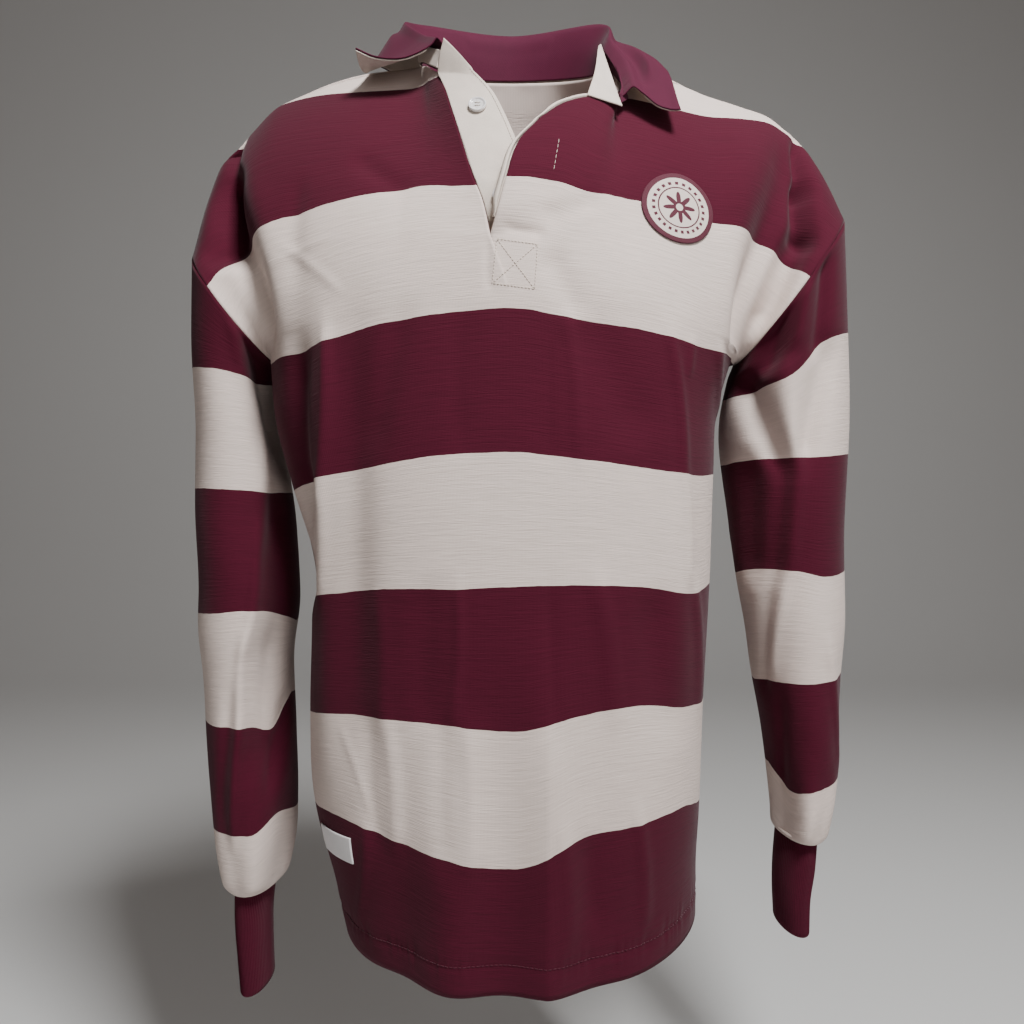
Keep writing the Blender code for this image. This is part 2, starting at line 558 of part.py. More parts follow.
def build_collar(collection):
    """The upper side in maroon, and on its inside the cream of the stand and of the fall.

    The stand's cream ends where the stand gets too short to hold two layers apart.
    """
    rows = (0, 0.13, 0.25, 0.33, 0.375, 0.42, 0.465, 0.51, 0.58, 0.68, 0.79, 0.90, 1.0)
    stand_rows = (0.012, 0.08, 0.15, 0.215)
    fall_rows = (0.535, 0.60, 0.69, 0.79, 0.89, 0.988)

    def across(v, table):
        return np.interp(v, np.linspace(0, 1, len(table)), table)

    def under(u, v, table, gap=LAYER_GAP):
        d = 4e-3
        station, at = np.clip(u, 0.005, 0.995), across(v, table)
        a, b = np.clip(station + d, 0, 1), np.clip(station - d, 0, 1)
        out = np.cross(collar_point(a, at) - collar_point(b, at),
                       collar_point(station, at + 0.01) - collar_point(station, at - 0.01))
        out /= np.linalg.norm(out, axis=-1, keepdims=True)
        return collar_point(station, at) - out * (COLLAR_CLOTH + gap)

    def layer(name, colour, table, point):
        bm = grid_surface(name, 34, len(table) - 1, point)
        return piece(name, bm, colour, COLLAR_CLOTH, collection, lambda co: Vector((0, 0, -1)))

    layer("collar", MAROON, rows, lambda u, v: collar_point(u, across(v, rows)))
    layer("collar_stand", CREAM, stand_rows,
          lambda u, v: under(0.76 * u, v, stand_rows, 1.8 * LAYER_GAP))
    layer("under_collar", CREAM, fall_rows, lambda u, v: under(u, v, fall_rows))


def strip_point(share, climb):
    """Point of the button strip. share: 0 at its sewn edge, 1 at its free edge. climb: 0 to 1."""
    share, climb = np.broadcast_arrays(np.asarray(share, float), np.asarray(climb, float))
    height = STRIP[0][0] + climb * (STRIP[-1][0] - STRIP[0][0])
    top = SLIT_EDGE[-1][-1][0]
    sewn = np.stack([read(SLIT_EDGE[-1], SLIT_COLUMNS, c, np.clip(height, SLIT_FOOT_HEIGHT, top))
                     for c in "xyz"], axis=-1)
    sewn[..., 0] += SEAM_GAP * 1.6
    below = np.clip(SLIT_FOOT_HEIGHT - height, 0, 1)
    sewn[..., 2] -= below * 0.95
    sewn[..., 0] += below * 0.10
    above = np.clip((height - top) / (STRIP[-1][0] - top), 0, 1)[..., None]
    sewn += above * (np.array(STRIP_TOP) - sewn)
    free = np.stack([read(STRIP, STRIP_COLUMNS, "free_" + c, height) for c in "xyz"], axis=-1)
    point = sewn + share[..., None] * (free - sewn)
    point[..., 1] -= 0.0018 * 4 * share * (1 - share)
    point[..., 1] += 0.0058 * smoothstep(0.622, 0.580, height)
    return point


def numeric_normal(point, u, v):
    """Unit vector square to a sheet given by point(u, v)."""
    d = 2e-3
    a = point(np.clip(u + d, 0, 1), v) - point(np.clip(u - d, 0, 1), v)
    b = point(u, np.clip(v + d, 0, 1)) - point(u, np.clip(v - d, 0, 1))
    out = np.cross(a, b)
    return out / (np.linalg.norm(out, axis=-1, keepdims=True) + 1e-12)


def build_strip(collection):
    bm = grid_surface("placket_under", 5, 14, strip_point)
    return piece("placket_under", bm, CREAM, TRIM_CLOTH, collection, lambda co: Vector((0, 1, 0)))


def facing_path(low, inner, v):
    """Point of the front half under the facing. inner: 0 at the edge. v: from the slit's foot on."""
    up, onward = np.clip(v / 0.5, 0, 1), np.clip((v - 0.5) / 0.5, 0, 1)
    share = 0.14 * onward + inner * (0.10 - 0.03 * onward)
    return panel(1, -1, share, low + (1 - low - 0.15 * inner) * up)


def build_facing(collection):
    """Facing of the lapped edge: it follows the slit's edge, then the neck edge to the collar."""
    low = foot_rise(1) + 0.10

    def at(u, v):
        over = np.clip((0.16 - u) / 0.16, 0, 1)
        inner = np.clip((u - 0.16) / 0.84, 0, 1)
        point, out = facing_path(low, inner, v)
        step, _ = facing_path(low, inner * 0 + 0.3, v)
        edge, _ = facing_path(low, inner * 0, v)
        away = (edge - step) / np.linalg.norm(edge - step, axis=-1, keepdims=True)
        rim = FACING_RIM * over * (0.35 + 0.65 * smoothstep(0, 0.10, v) * smoothstep(1.0, 0.93, v))
        seated = smoothstep(0.45, 0.90, u) * smoothstep(0.12, 0.30, v) * smoothstep(0.95, 0.75, v)
        depth = FACING_DEPTH - (FACING_DEPTH - FACING_SEAT) * seated
        return point + away * rim[..., None] - out * depth[..., None]

    bm = grid_surface("placket_facing", 7, 18, at)
    return piece("placket_facing", bm, CREAM, TRIM_CLOTH, collection, lambda co: Vector((0, 1, 0)))


def build_stand_facing(collection):
    def place(u, v):
        a, b = along(STAND_FACING["neck"], v), along(STAND_FACING["collar"], v)
        return a + u[..., None] * (b - a)

    bm = grid_surface("stand_facing", 5, 8, place)
    return piece("stand_facing", bm, CREAM, TRIM_CLOTH, collection, lambda co: Vector((0.8, 0.6, -0.2)))


def build_buttons(collection):
    """Two four-hole buttons, turned, each lying on the strip."""
    for name, (height, share) in BUTTONS.items():
        climb = (height - STRIP[0][0]) / (STRIP[-1][0] - STRIP[0][0])
        share, climb = np.array(share), np.array(climb)
        seat = Vector(strip_point(share, climb))
        out = Vector(numeric_normal(strip_point, share, climb))
        if out.y > 0:
            out = -out
        half, rim = BUTTON_THICKNESS / 2, BUTTON_RADIUS
        profile = ((0, half * 0.45), (rim * 0.58, half * 0.45), (rim * 0.72, half), (rim * 0.90, half),
                   (rim, half * 0.45), (rim, -half * 0.45), (rim * 0.90, -half), (0, -half))
        bm = bmesh.new()
        verts = [bm.verts.new((x, 0, z)) for x, z in profile]
        for a, b in zip(verts, verts[1:]):
            bm.edges.new((a, b))
        bmesh.ops.spin(bm, geom=bm.verts[:] + bm.edges[:], angle=2 * math.pi, steps=24,
                       axis=(0, 0, 1), cent=(0, 0, 0))
        bmesh.ops.remove_doubles(bm, verts=bm.verts, dist=1e-6)
        bmesh.ops.recalc_face_normals(bm, faces=bm.faces)
        mesh = bpy.data.meshes.new(name)
        bm.to_mesh(mesh)
        bm.free()
        mesh.shade_smooth()
        mesh.set_sharp_from_angle(angle=math.radians(35))
        mesh.materials.append(material(name, PEARL, 0.25))
        button = bpy.data.objects.new(name, mesh)
        collection.objects.link(button)
        button.rotation_euler = out.to_track_quat("Z", "Y").to_euler()
        button.location = seat + out * (half + 0.0004)
        holes = bmesh.new()
        for k in range(4):
            turn = math.pi / 4 + k * math.pi / 2
            at = Matrix.Translation((0.0021 * math.cos(turn), 0.0021 * math.sin(turn), 0))
            bmesh.ops.create_cone(holes, cap_ends=True, segments=8, radius1=0.0008, radius2=0.0008,
                                  depth=0.01, matrix=at)
        cutter_mesh = bpy.data.meshes.new(name + "_holes")
        holes.to_mesh(cutter_mesh)
        holes.free()
        cutter = bpy.data.objects.new(name + "_holes", cutter_mesh)
        bpy.data.collections["cutters"].objects.link(cutter)
        cutter.rotation_euler, cutter.location = button.rotation_euler, button.location
        cutter.hide_render = True
        cutter.display_type = "WIRE"
        cut = button.modifiers.new("Holes", "BOOLEAN")
        cut.operation = "DIFFERENCE"
        cut.object = cutter


def share_and_rise(side, x, z):
    """Where the front half passes a given x and z, found by Newton's method."""
    at = np.array([0.6, -0.5 if z < -0.25 else 0.4])
    for _ in range(12):
        here = panel(side, -1, at[0], at[1])[0][[0, 2]]
        du = (panel(side, -1, at[0] + 1e-3, at[1])[0][[0, 2]] - here) / 1e-3
        dv = (panel(side, -1, at[0], at[1] + 1e-3)[0][[0, 2]] - here) / 1e-3
        at = at + np.clip(np.linalg.solve(np.stack([du, dv], axis=1), np.array([x, z]) - here), -0.15, 0.15)
    return at


def on_front(side, x, z, right, up, lift):
    """Points of the front half round a given place, moved out by lift. right, up: in metres."""
    at = share_and_rise(side, x, z)
    here = panel(side, -1, at[0], at[1])[0]
    du = (panel(side, -1, at[0] + 1e-3, at[1])[0] - here) / 1e-3
    dv = (panel(side, -1, at[0], at[1] + 1e-3)[0] - here) / 1e-3
    level = np.array([du[0], du[1], 0]) * side
    level /= np.linalg.norm(level)
    normal = np.cross(du, dv)
    steep = np.cross(level, normal / np.linalg.norm(normal))
    steep *= np.sign(steep[2])
    solve = np.linalg.inv(np.array([[du @ level, dv @ level], [du @ steep, dv @ steep]]))
    move = solve @ np.stack([np.ravel(right), np.ravel(up)])
    point, out = panel(side, -1, at[0] + move[0], at[1] + move[1])
    return point + out * lift


def build_label(collection):
    def place(u, v):
        return on_front(-1, LABEL["x"], LABEL["z"], (u - 0.5) * LABEL["width"],
                        (v - 0.5) * LABEL["height"], TRIM_CLOTH + 0.0004)

    bm = grid_surface("side_label", 6, 3, place)
    return piece("side_label", bm, WHITE, TRIM_CLOTH * 0.9, collection, to_axis(0, 0.3))


def build_badge(collection):
    bm = bmesh.new()
    bmesh.ops.create_circle(bm, cap_ends=True, segments=36, radius=1.0)
    bmesh.ops.poke(bm, faces=bm.faces)
    bmesh.ops.subdivide_edges(bm, edges=[e for e in bm.edges if not e.is_boundary], cuts=3)
    bmesh.ops.triangulate(bm, faces=bm.faces)
    flat = np.array([v.co[:] for v in bm.verts]) * BADGE_RADIUS
    moved = on_front(1, BADGE["x"], BADGE["z"], flat[:, 0], flat[:, 1], 0.0008 + 0.0005)
    for vert, co in zip(bm.verts, moved):
        vert.co = co
    return piece("chest_badge", bm, CREAM, 0.0008, collection, to_axis(0, 0.3))


def build_vent_tape(side, name, collection):
    def place(u, v):
        turn = 2 * u - 1
        height = 0.0015 + v * VENT_HEIGHT
        point = trunk_ring(height, 1 - 0.045 * np.abs(turn), side, -1)
        point[..., 0] -= side * (CLOTH + 0.0011)
        point[..., 1] = 0.0105 * turn
        return point

    bm = grid_surface(name, 4, 4, place)
    return piece(name, bm, CREAM, TRIM_CLOTH, collection, to_axis(0, 0))


def main():
    for obj in list(bpy.data.objects):
        bpy.data.objects.remove(obj)
    collection = bpy.data.collections.new("hooped_jersey")
    bpy.context.scene.collection.children.link(collection)
    bpy.context.scene.collection.children.link(bpy.data.collections.new("cutters"))
    build_front(collection)
    build_back(collection)
    for side, name in ((-1, "right"), (1, "left")):
        build_sleeve(side, "sleeve_" + name, collection)
        build_cuff(side, "cuff_" + name, collection)
        build_vent_tape(side, "vent_tape_" + name, collection)
    build_collar(collection)
    build_strip(collection)
    build_facing(collection)
    build_stand_facing(collection)
    build_buttons(collection)
    build_label(collection)
    build_badge(collection)


main()
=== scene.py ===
"""Hooped long-sleeved jersey with a collar and a half placket, in the form it keeps when worn."""

import math

import bmesh
import bpy
import numpy as np
from mathutils import Matrix, Vector


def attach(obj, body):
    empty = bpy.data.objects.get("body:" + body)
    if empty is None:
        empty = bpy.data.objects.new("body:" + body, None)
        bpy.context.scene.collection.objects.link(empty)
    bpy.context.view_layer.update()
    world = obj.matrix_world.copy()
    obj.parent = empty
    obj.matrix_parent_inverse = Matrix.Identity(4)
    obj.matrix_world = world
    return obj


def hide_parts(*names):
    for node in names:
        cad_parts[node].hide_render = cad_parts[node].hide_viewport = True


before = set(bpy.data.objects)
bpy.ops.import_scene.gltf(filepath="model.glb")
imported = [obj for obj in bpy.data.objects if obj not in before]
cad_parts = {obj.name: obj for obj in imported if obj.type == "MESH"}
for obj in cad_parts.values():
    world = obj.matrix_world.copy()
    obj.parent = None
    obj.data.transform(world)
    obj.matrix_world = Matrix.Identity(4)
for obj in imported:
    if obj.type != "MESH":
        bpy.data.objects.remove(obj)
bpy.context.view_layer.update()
bpy.ops.object.select_all(action="DESELECT")


# Front and back panels: a slubbed cotton single jersey, knitted in hoops of maroon and ecru and
# cut so that the hoops run round the body. The front is slit at the neck for the placket. Both
# are overlocked to each other at the sides and the shoulders, and turned up 22 mm at the hem.
CLOTH = 0.0016          # wall of the body and the sleeves
TRIM_CLOTH = 0.0010     # facings, label and tapes
SEAM_GAP = 0.0005       # free space at each seam
ARMPIT_HEIGHT = 0.505   # along the cloth, above the hem
SLIT_FOOT_HEIGHT = 0.565
NECK_COLUMN = {(-1, -1): 0.30, (1, -1): 0.40, (-1, 1): 0.30, (1, 1): 0.30}  # see top_edge
VENT_HEIGHT = 0.055
VENT_OPENING = 0.0045
TRUNK_COLUMNS = ("height", "front_z", "left_z", "right_z", "left", "right", "front", "back", "corner")
TRUNK = (
    (0.000, -0.736, -0.724, -0.714, 0.143, 0.158, 0.130, 0.112, 2.15),
    (0.045, -0.690, -0.679, -0.673, 0.153, 0.158, 0.130, 0.112, 2.2),
    (0.093, -0.642, -0.632, -0.630, 0.166, 0.160, 0.131, 0.112, 2.3),
    (0.196, -0.539, -0.552, -0.537, 0.172, 0.163, 0.132, 0.113, 2.4),
    (0.299, -0.434, -0.450, -0.441, 0.170, 0.168, 0.131, 0.113, 2.5),
    (0.402, -0.335, -0.358, -0.346, 0.188, 0.171, 0.130, 0.114, 2.6),
    (0.455, -0.281, -0.304, -0.298, 0.201, 0.174, 0.128, 0.115, 2.6),
    (0.505, -0.228, -0.250, -0.249, 0.206, 0.188, 0.126, 0.116, 2.6),
)
SHOULDER = {
    -1: ((0.078, 0.010), (0.105, 0.0085), (0.1325, 0.0045), (0.1605, -0.0036), (0.1868, -0.015),
         (0.2035, -0.0228), (0.2294, -0.0483), (0.2520, -0.0711), (0.2614, -0.0957),
         (0.2675, -0.1237), (0.2737, -0.160)),
    1: ((0.080, 0.006), (0.105, 0.006), (0.1303, 0.0035), (0.1655, -0.0123), (0.200, -0.0237),
        (0.2263, -0.0338), (0.2377, -0.043), (0.2518, -0.0548), (0.264, -0.0731),
        (0.2746, -0.095), (0.286, -0.1264)),
}
ARMHOLE = {
    -1: ((0.2400, 0.0, -0.205), (0.0337, 0.0450), 0.066),
    1: ((0.2415, 0.0, -0.188), (0.0445, 0.0616), 0.064),
}
NECK_EDGE = {
    -1: ((-0.0584, -0.0620, -0.0236), (-0.0660, -0.0500, -0.0150), (-0.0735, -0.0300, -0.0020),
         (-0.078, 0.0, 0.010)),
    1: ((0.0226, -0.0985, -0.0745), (0.0430, -0.0840, -0.0565), (0.0672, -0.0730, -0.0480),
        (0.0870, -0.0690, -0.0530), (0.0940, -0.0560, -0.0430), (0.0915, -0.0340, -0.0215),
        (0.080, 0.0, 0.006)),
}
BACK_NECK = ((0.078, 0.0, 0.008), (0.068, 0.036, 0.018), (0.040, 0.060, 0.0265), (0.0, 0.068, 0.029))
SLIT_COLUMNS = ("height", "x", "y", "z")
SLIT_EDGE = {
    -1: ((0.565, -0.0160, -0.1250, -0.1735), (0.600, -0.0225, -0.1190, -0.1450),
         (0.625, -0.0300, -0.1120, -0.1240), (0.660, -0.0400, -0.0990, -0.0900),
         (0.700, -0.0510, -0.0800, -0.0520), (0.730, -0.0584, -0.0620, -0.0236)),
    1: ((0.565, -0.0160, -0.1250, -0.1735), (0.590, -0.0100, -0.1288, -0.1540),
        (0.615, -0.0038, -0.1262, -0.1300), (0.645, 0.0050, -0.1155, -0.1000),
        (0.672, 0.0226, -0.0985, -0.0745)),
}
HOOP = 0.103
FIRST_HOOP = 0.093


def spline(xs, ys, x):
    """Smooth curve through the values ys at xs, read at x. It never overshoots a flat run."""
    xs, ys = np.asarray(xs, float), np.asarray(ys, float)
    x = np.clip(np.asarray(x, float), xs[0], xs[-1])
    flat = ys.reshape(len(xs), -1)
    step = np.diff(xs)[:, None]
    slope = np.diff(flat, axis=0) / step
    tangent = np.empty_like(flat)
    tangent[0], tangent[-1] = slope[0], slope[-1]
    before, after = step[:-1], step[1:]
    tangent[1:-1] = (slope[:-1] * after + slope[1:] * before) / (before + after)
    turning = slope[:-1] * slope[1:] <= 0
    tangent[1:-1][turning] *= 0.35
    i = np.clip(np.searchsorted(xs, x, side="right") - 1, 0, len(xs) - 2)
    h = step[i, 0]
    s = ((x - xs[i]) / h)[..., None]
    h = h[..., None]
    value = (
        (1 + 2 * s) * (1 - s) ** 2 * flat[i]
        + s * (1 - s) ** 2 * h * tangent[i]
        + s * s * (3 - 2 * s) * flat[i + 1]
        + s * s * (s - 1) * h * tangent[i + 1]
    )
    return value.reshape(x.shape + ys.shape[1:])


def read(table, columns, name, x):
    """A named column of a table, read at x of its first column."""
    return spline([row[0] for row in table], [row[columns.index(name)] for row in table], x)


def along(points, share):
    """The curve through the points, read at a share of its length."""
    points = np.asarray(points, float)
    length = np.r_[0, np.cumsum(np.linalg.norm(np.diff(points, axis=0), axis=1))]
    return spline(length / length[-1], points, share)


def smoothstep(low, high, x):
    t = np.clip((np.asarray(x, float) - low) / (high - low), 0, 1)
    return t * t * (3 - 2 * t)


def ridge(x, middle, width):
    """A soft crest of height 1 at middle."""
    return np.exp(-(((np.asarray(x, float) - middle) / width) ** 2))


def trunk_ring(height, share, side, face):
    """Point of the trunk below the armpits. share: 0 at the middle, 1 at the side seam."""
    height, share = np.broadcast_arrays(np.asarray(height, float), np.asarray(share, float))
    level, row = np.unique(np.round(height.ravel(), 6), return_inverse=True)
    half = read(TRUNK, TRUNK_COLUMNS, "left" if side < 0 else "right", level)
    depth = read(TRUNK, TRUNK_COLUMNS, "front" if face < 0 else "back", level)
    corner = read(TRUNK, TRUNK_COLUMNS, "corner", level)
    angle = np.linspace(0, math.pi / 2, 121)[:, None]
    x = np.sin(angle) ** (2 / corner) * half
    y = np.cos(angle) ** (2 / corner) * depth
    steps = np.hypot(np.diff(x, axis=0), np.diff(y, axis=0))
    run = np.r_[np.zeros((1, len(level))), np.cumsum(steps, axis=0)]
    run /= run[-1]
    wanted = share.ravel()
    order = np.argsort(row.ravel(), kind="stable")
    ends = np.searchsorted(row.ravel()[order], np.arange(len(level) + 1))
    out_x, out_y = np.empty(wanted.shape), np.empty(wanted.shape)
    for k in range(len(level)):
        here = order[ends[k]:ends[k + 1]]
        out_x[here] = np.interp(wanted[here], run[:, k], x[:, k])
        out_y[here] = np.interp(wanted[here], run[:, k], y[:, k])
    out_x, out_y = out_x.reshape(share.shape), out_y.reshape(share.shape)
    middle_z = read(TRUNK, TRUNK_COLUMNS, "front_z", height)
    side_z = read(TRUNK, TRUNK_COLUMNS, "left_z" if side < 0 else "right_z", height)
    if face > 0:
        middle_z = 0.35 * middle_z + 0.65 * (
            read(TRUNK, TRUNK_COLUMNS, "left_z", height) + read(TRUNK, TRUNK_COLUMNS, "right_z", height)) / 2
    z = middle_z + (side_z - middle_z) * smoothstep(0.15, 1.1, share) / smoothstep(0.15, 1.1, 1)
    return np.stack([side * out_x, face * out_y, z], axis=-1)


def trunk_folds(x, height, face):
    """Soft lengthwise folds of the hanging cloth, as a push outwards in metres."""
    low = smoothstep(0.50, 0.10, height)
    if face > 0:
        return (0.0060 * ridge(x, -0.085, 0.022) + 0.0070 * ridge(x, 0.020, 0.026)
                - 0.0050 * ridge(x, -0.035, 0.022) - 0.0060 * ridge(x, 0.085, 0.024)) * low
    rise = smoothstep(0.56, 0.42, height)
    return (
        0.0050 * ridge(x, -0.146, 0.013) * smoothstep(0.10, 0.24, height) * rise
        - 0.0050 * ridge(x, -0.120, 0.016) * smoothstep(0.12, 0.26, height) * rise
        + 0.0065 * ridge(x, 0.024, 0.018) * smoothstep(0.30, 0.16, height)
        - 0.0055 * ridge(x, -0.004, 0.018) * smoothstep(0.26, 0.08, height)
        + 0.0055 * ridge(x, -0.045, 0.020) * smoothstep(0.24, 0.06, height)
        - 0.0050 * ridge(x, -0.086, 0.020) * smoothstep(0.24, 0.04, height)
        - 0.0040 * ridge(x, 0.066, 0.020) * smoothstep(0.30, 0.08, height)
        + 0.0035 * ridge(x, 0.126, 0.016) * smoothstep(0.10, 0.30, height) * rise
    )


def armhole(side, share):
    """Edge of the armhole over the front: 0 at the armpit, 1 at the shoulder tip."""
    (x, y, z), (half_x, half_z), depth = ARMHOLE[side]
    turn = math.pi * np.asarray(share, float)
    return np.stack([
        side * (x - np.cos(turn) * half_x), y - np.sin(turn) * depth, z - np.cos(turn) * half_z
    ], axis=-1)


def top_edge(side, share, face):
    """Upper edge of a front or back half, from the middle to the shoulder tip."""
    share = np.asarray(share, float)
    neck = np.asarray(NECK_EDGE[side]) if face < 0 else np.asarray(BACK_NECK[::-1]) * (side, 1, 1)
    if face > 0:
        neck[-1] = NECK_EDGE[side][-1]
    seam = np.array([(side * x, 0.0, z) for x, z in SHOULDER[side]])
    last = NECK_COLUMN[side, face]
    at_neck = along(neck, share / last)
    at_seam = along(seam, (share - last) / (1 - last))
    return np.where((share < last)[..., None], at_neck, at_seam)


def top_height(side, face, share):
    """Height of that edge along the cloth."""
    first = 0.745 if face > 0 else SLIT_EDGE[side][-1][0]
    last = NECK_COLUMN[side, face]
    return spline((0, last, last + 0.15, 0.66, 0.82, 1), (first, 0.765, 0.757, 0.735, 0.715, 0.697), share)


def foot_rise(side):
    """The slit's foot, as the rise of a front half's innermost column."""
    return (SLIT_FOOT_HEIGHT - ARMPIT_HEIGHT) / (SLIT_EDGE[side][-1][0] - ARMPIT_HEIGHT)


def half_panel(side, face, share, rise):
    """Point of a front or back half. rise: -1 at the hem, 0 at the armpit, 1 at the upper edge."""
    share, rise = np.broadcast_arrays(np.asarray(share, float), np.asarray(rise, float))
    height = ARMPIT_HEIGHT * (1 + np.minimum(rise, 0))
    base = trunk_ring(height, share, side, face)
    vent = smoothstep(VENT_HEIGHT, 0, height) * smoothstep(0.90, 1, share)
    base[..., 1] += face * VENT_OPENING * vent
    up = np.clip(rise, 0, 1)
    length = top_height(side, face, share) - ARMPIT_HEIGHT
    top = top_edge(side, share, face)
    s = up ** 1.12
    near_neck = smoothstep(NECK_COLUMN[side, face] + 0.08, 0.0, share)[..., None]
    start = np.stack([0 * share, 0 * share + face * 0.02, 0.98 + 0 * share], axis=-1)
    away, close = np.array([0.0, -face * 0.80, 0.62]), np.array([0.0, -face * 0.52, 0.85])
    over = away * (1 - near_neck) + close * near_neck
    reach = length[..., None]
    column = lambda s, a, b: ((1 + 2 * s) * (1 - s) ** 2 * a + s * (1 - s) ** 2 * 1.15 * reach * start
                              + s * s * (3 - 2 * s) * b + s * s * (s - 1) * 1.15 * reach * over)
    upper = column(s[..., None], base, top)
    edge = armhole(side, up) * (1, -face, 1)
    side_column = column(s[..., None], trunk_ring(ARMPIT_HEIGHT, 1.0 + 0 * share, side, face),
                         top_edge(side, 1.0 + 0 * share, face))
    upper += (share ** 6)[..., None] * (edge - side_column)
    if face < 0:
        at = ARMPIT_HEIGHT + up * (top_height(side, face, 0.0) - ARMPIT_HEIGHT)
        slit = np.stack([read(SLIT_EDGE[side], SLIT_COLUMNS, c, at) for c in "xyz"], axis=-1)
        foot = smoothstep(ARMPIT_HEIGHT, SLIT_FOOT_HEIGHT, at)[..., None]
        middle = column(s[..., None], trunk_ring(ARMPIT_HEIGHT, 0 * share, side, face),
                        top_edge(side, 0 * share, face))
        below = middle + foot * (np.array(SLIT_EDGE[-1][0][1:]) - column(
            np.full_like(s, foot_rise(side) ** 1.12)[..., None],
            trunk_ring(ARMPIT_HEIGHT, 0 * share, side, face), top_edge(side, 0 * share, face)))
        line = np.where((at < SLIT_FOOT_HEIGHT)[..., None], below, slit)
        upper += ((1 - share) ** 3)[..., None] * (line - middle)
    point = np.where((rise > 0)[..., None], upper, base)
    return point


def panel(side, face, share, rise):
    """A front or back half with its folds."""
    share, rise = np.broadcast_arrays(np.asarray(share, float), np.asarray(rise, float))
    point = half_panel(side, face, share, rise)
    d = 4e-3
    a, b = np.clip(share + d, 0, 1), np.clip(share - d, 0, 1)
    across = half_panel(side, face, a, rise) - half_panel(side, face, b, rise)
    middle = (share < d) & ((rise < 0.2) | (face > 0))
    beyond = half_panel(side, face, a, rise) - half_panel(-side, face, np.clip(d - share, 0, 1), rise)
    across = np.where(middle[..., None], beyond, across)
    c, e = np.clip(rise + d, -1, 1), np.clip(rise - d, -1, 1)
    upward = half_panel(side, face, share, c) - half_panel(side, face, share, e)
    out = np.cross(across, upward) * (-side * face)
    out /= np.linalg.norm(out, axis=-1, keepdims=True) + 1e-12
    height = np.where(rise < 0, ARMPIT_HEIGHT * (1 + rise),
                      ARMPIT_HEIGHT + rise * (top_height(side, face, share) - ARMPIT_HEIGHT))
    push = trunk_folds(point[..., 0], height, face) * smoothstep(0.02, 0.10, 1 - share)
    groove = ridge(share, 0.80, 0.055) * smoothstep(-0.10, 0.25, rise) * smoothstep(1.0, 0.70, rise)
    push = push - 0.0130 * groove
    roll = ridge(share, 0.69, 0.05) * smoothstep(-0.2, 0.2, rise) * smoothstep(0.9, 0.5, rise)
    push = push + 0.0040 * roll
    return point + out * push[..., None], out


def cloth_height(side, face, share, rise):
    """How far up the cloth from the hem a point of a panel lies."""
    upper = ARMPIT_HEIGHT + rise * (top_height(side, face, share) - ARMPIT_HEIGHT)
    return np.where(rise < 0, ARMPIT_HEIGHT * (1 + rise), upper)


# Heights up the cloth of the hoops' edges, from the wearer's right side seam to the left one.
HOOP_STATIONS = (-1.0, -0.8, -0.6, -0.4, -0.2, 0.0, 0.2, 0.4, 0.6, 0.8, 1.0)
HOOP_EDGES = (
    (0.106, 0.111, 0.117, 0.109, 0.100, 0.093, 0.113, 0.118, 0.120, 0.110, 0.103),
    (0.200, 0.203, 0.206, 0.203, 0.199, 0.195, 0.205, 0.210, 0.203, 0.201, 0.203),
    (0.294, 0.297, 0.298, 0.299, 0.297, 0.299, 0.300, 0.299, 0.294, 0.301, 0.303),
    (0.398, 0.395, 0.395, 0.396, 0.400, 0.402, 0.397, 0.393, 0.391, 0.397, 0.401),
    (0.503, 0.495, 0.491, 0.497, 0.501, 0.505, 0.497, 0.494, 0.492, 0.499, 0.505),
    (0.612, 0.607, 0.603, 0.608, 0.616, 0.614, 0.620, 0.607, 0.597, 0.598, 0.600),
    (0.746, 0.745, 0.740, 0.727, 0.731, 0.727, 0.754, 0.724, 0.703, 0.709, 0.716),
)


def knitted_height(height, station, edges):
    """The height in the knitting, in even hoops, of a point at a height up the hanging cloth."""
    levels = [spline(HOOP_STATIONS, row, station) for row in edges]
    levels = [0 * levels[0] - 0.02, *levels, 0 * levels[0] + 0.86]
    even = [-0.02, *[FIRST_HOOP + HOOP * k for k in range(7)], 0.86]
    out = np.zeros(np.shape(height))
    for low, high, a, b in zip(levels, levels[1:], even, even[1:]):
        inside = (height >= low) & (height <= high)
        out = np.where(inside, a + (b - a) * (height - low) / (high - low), out)
    return out


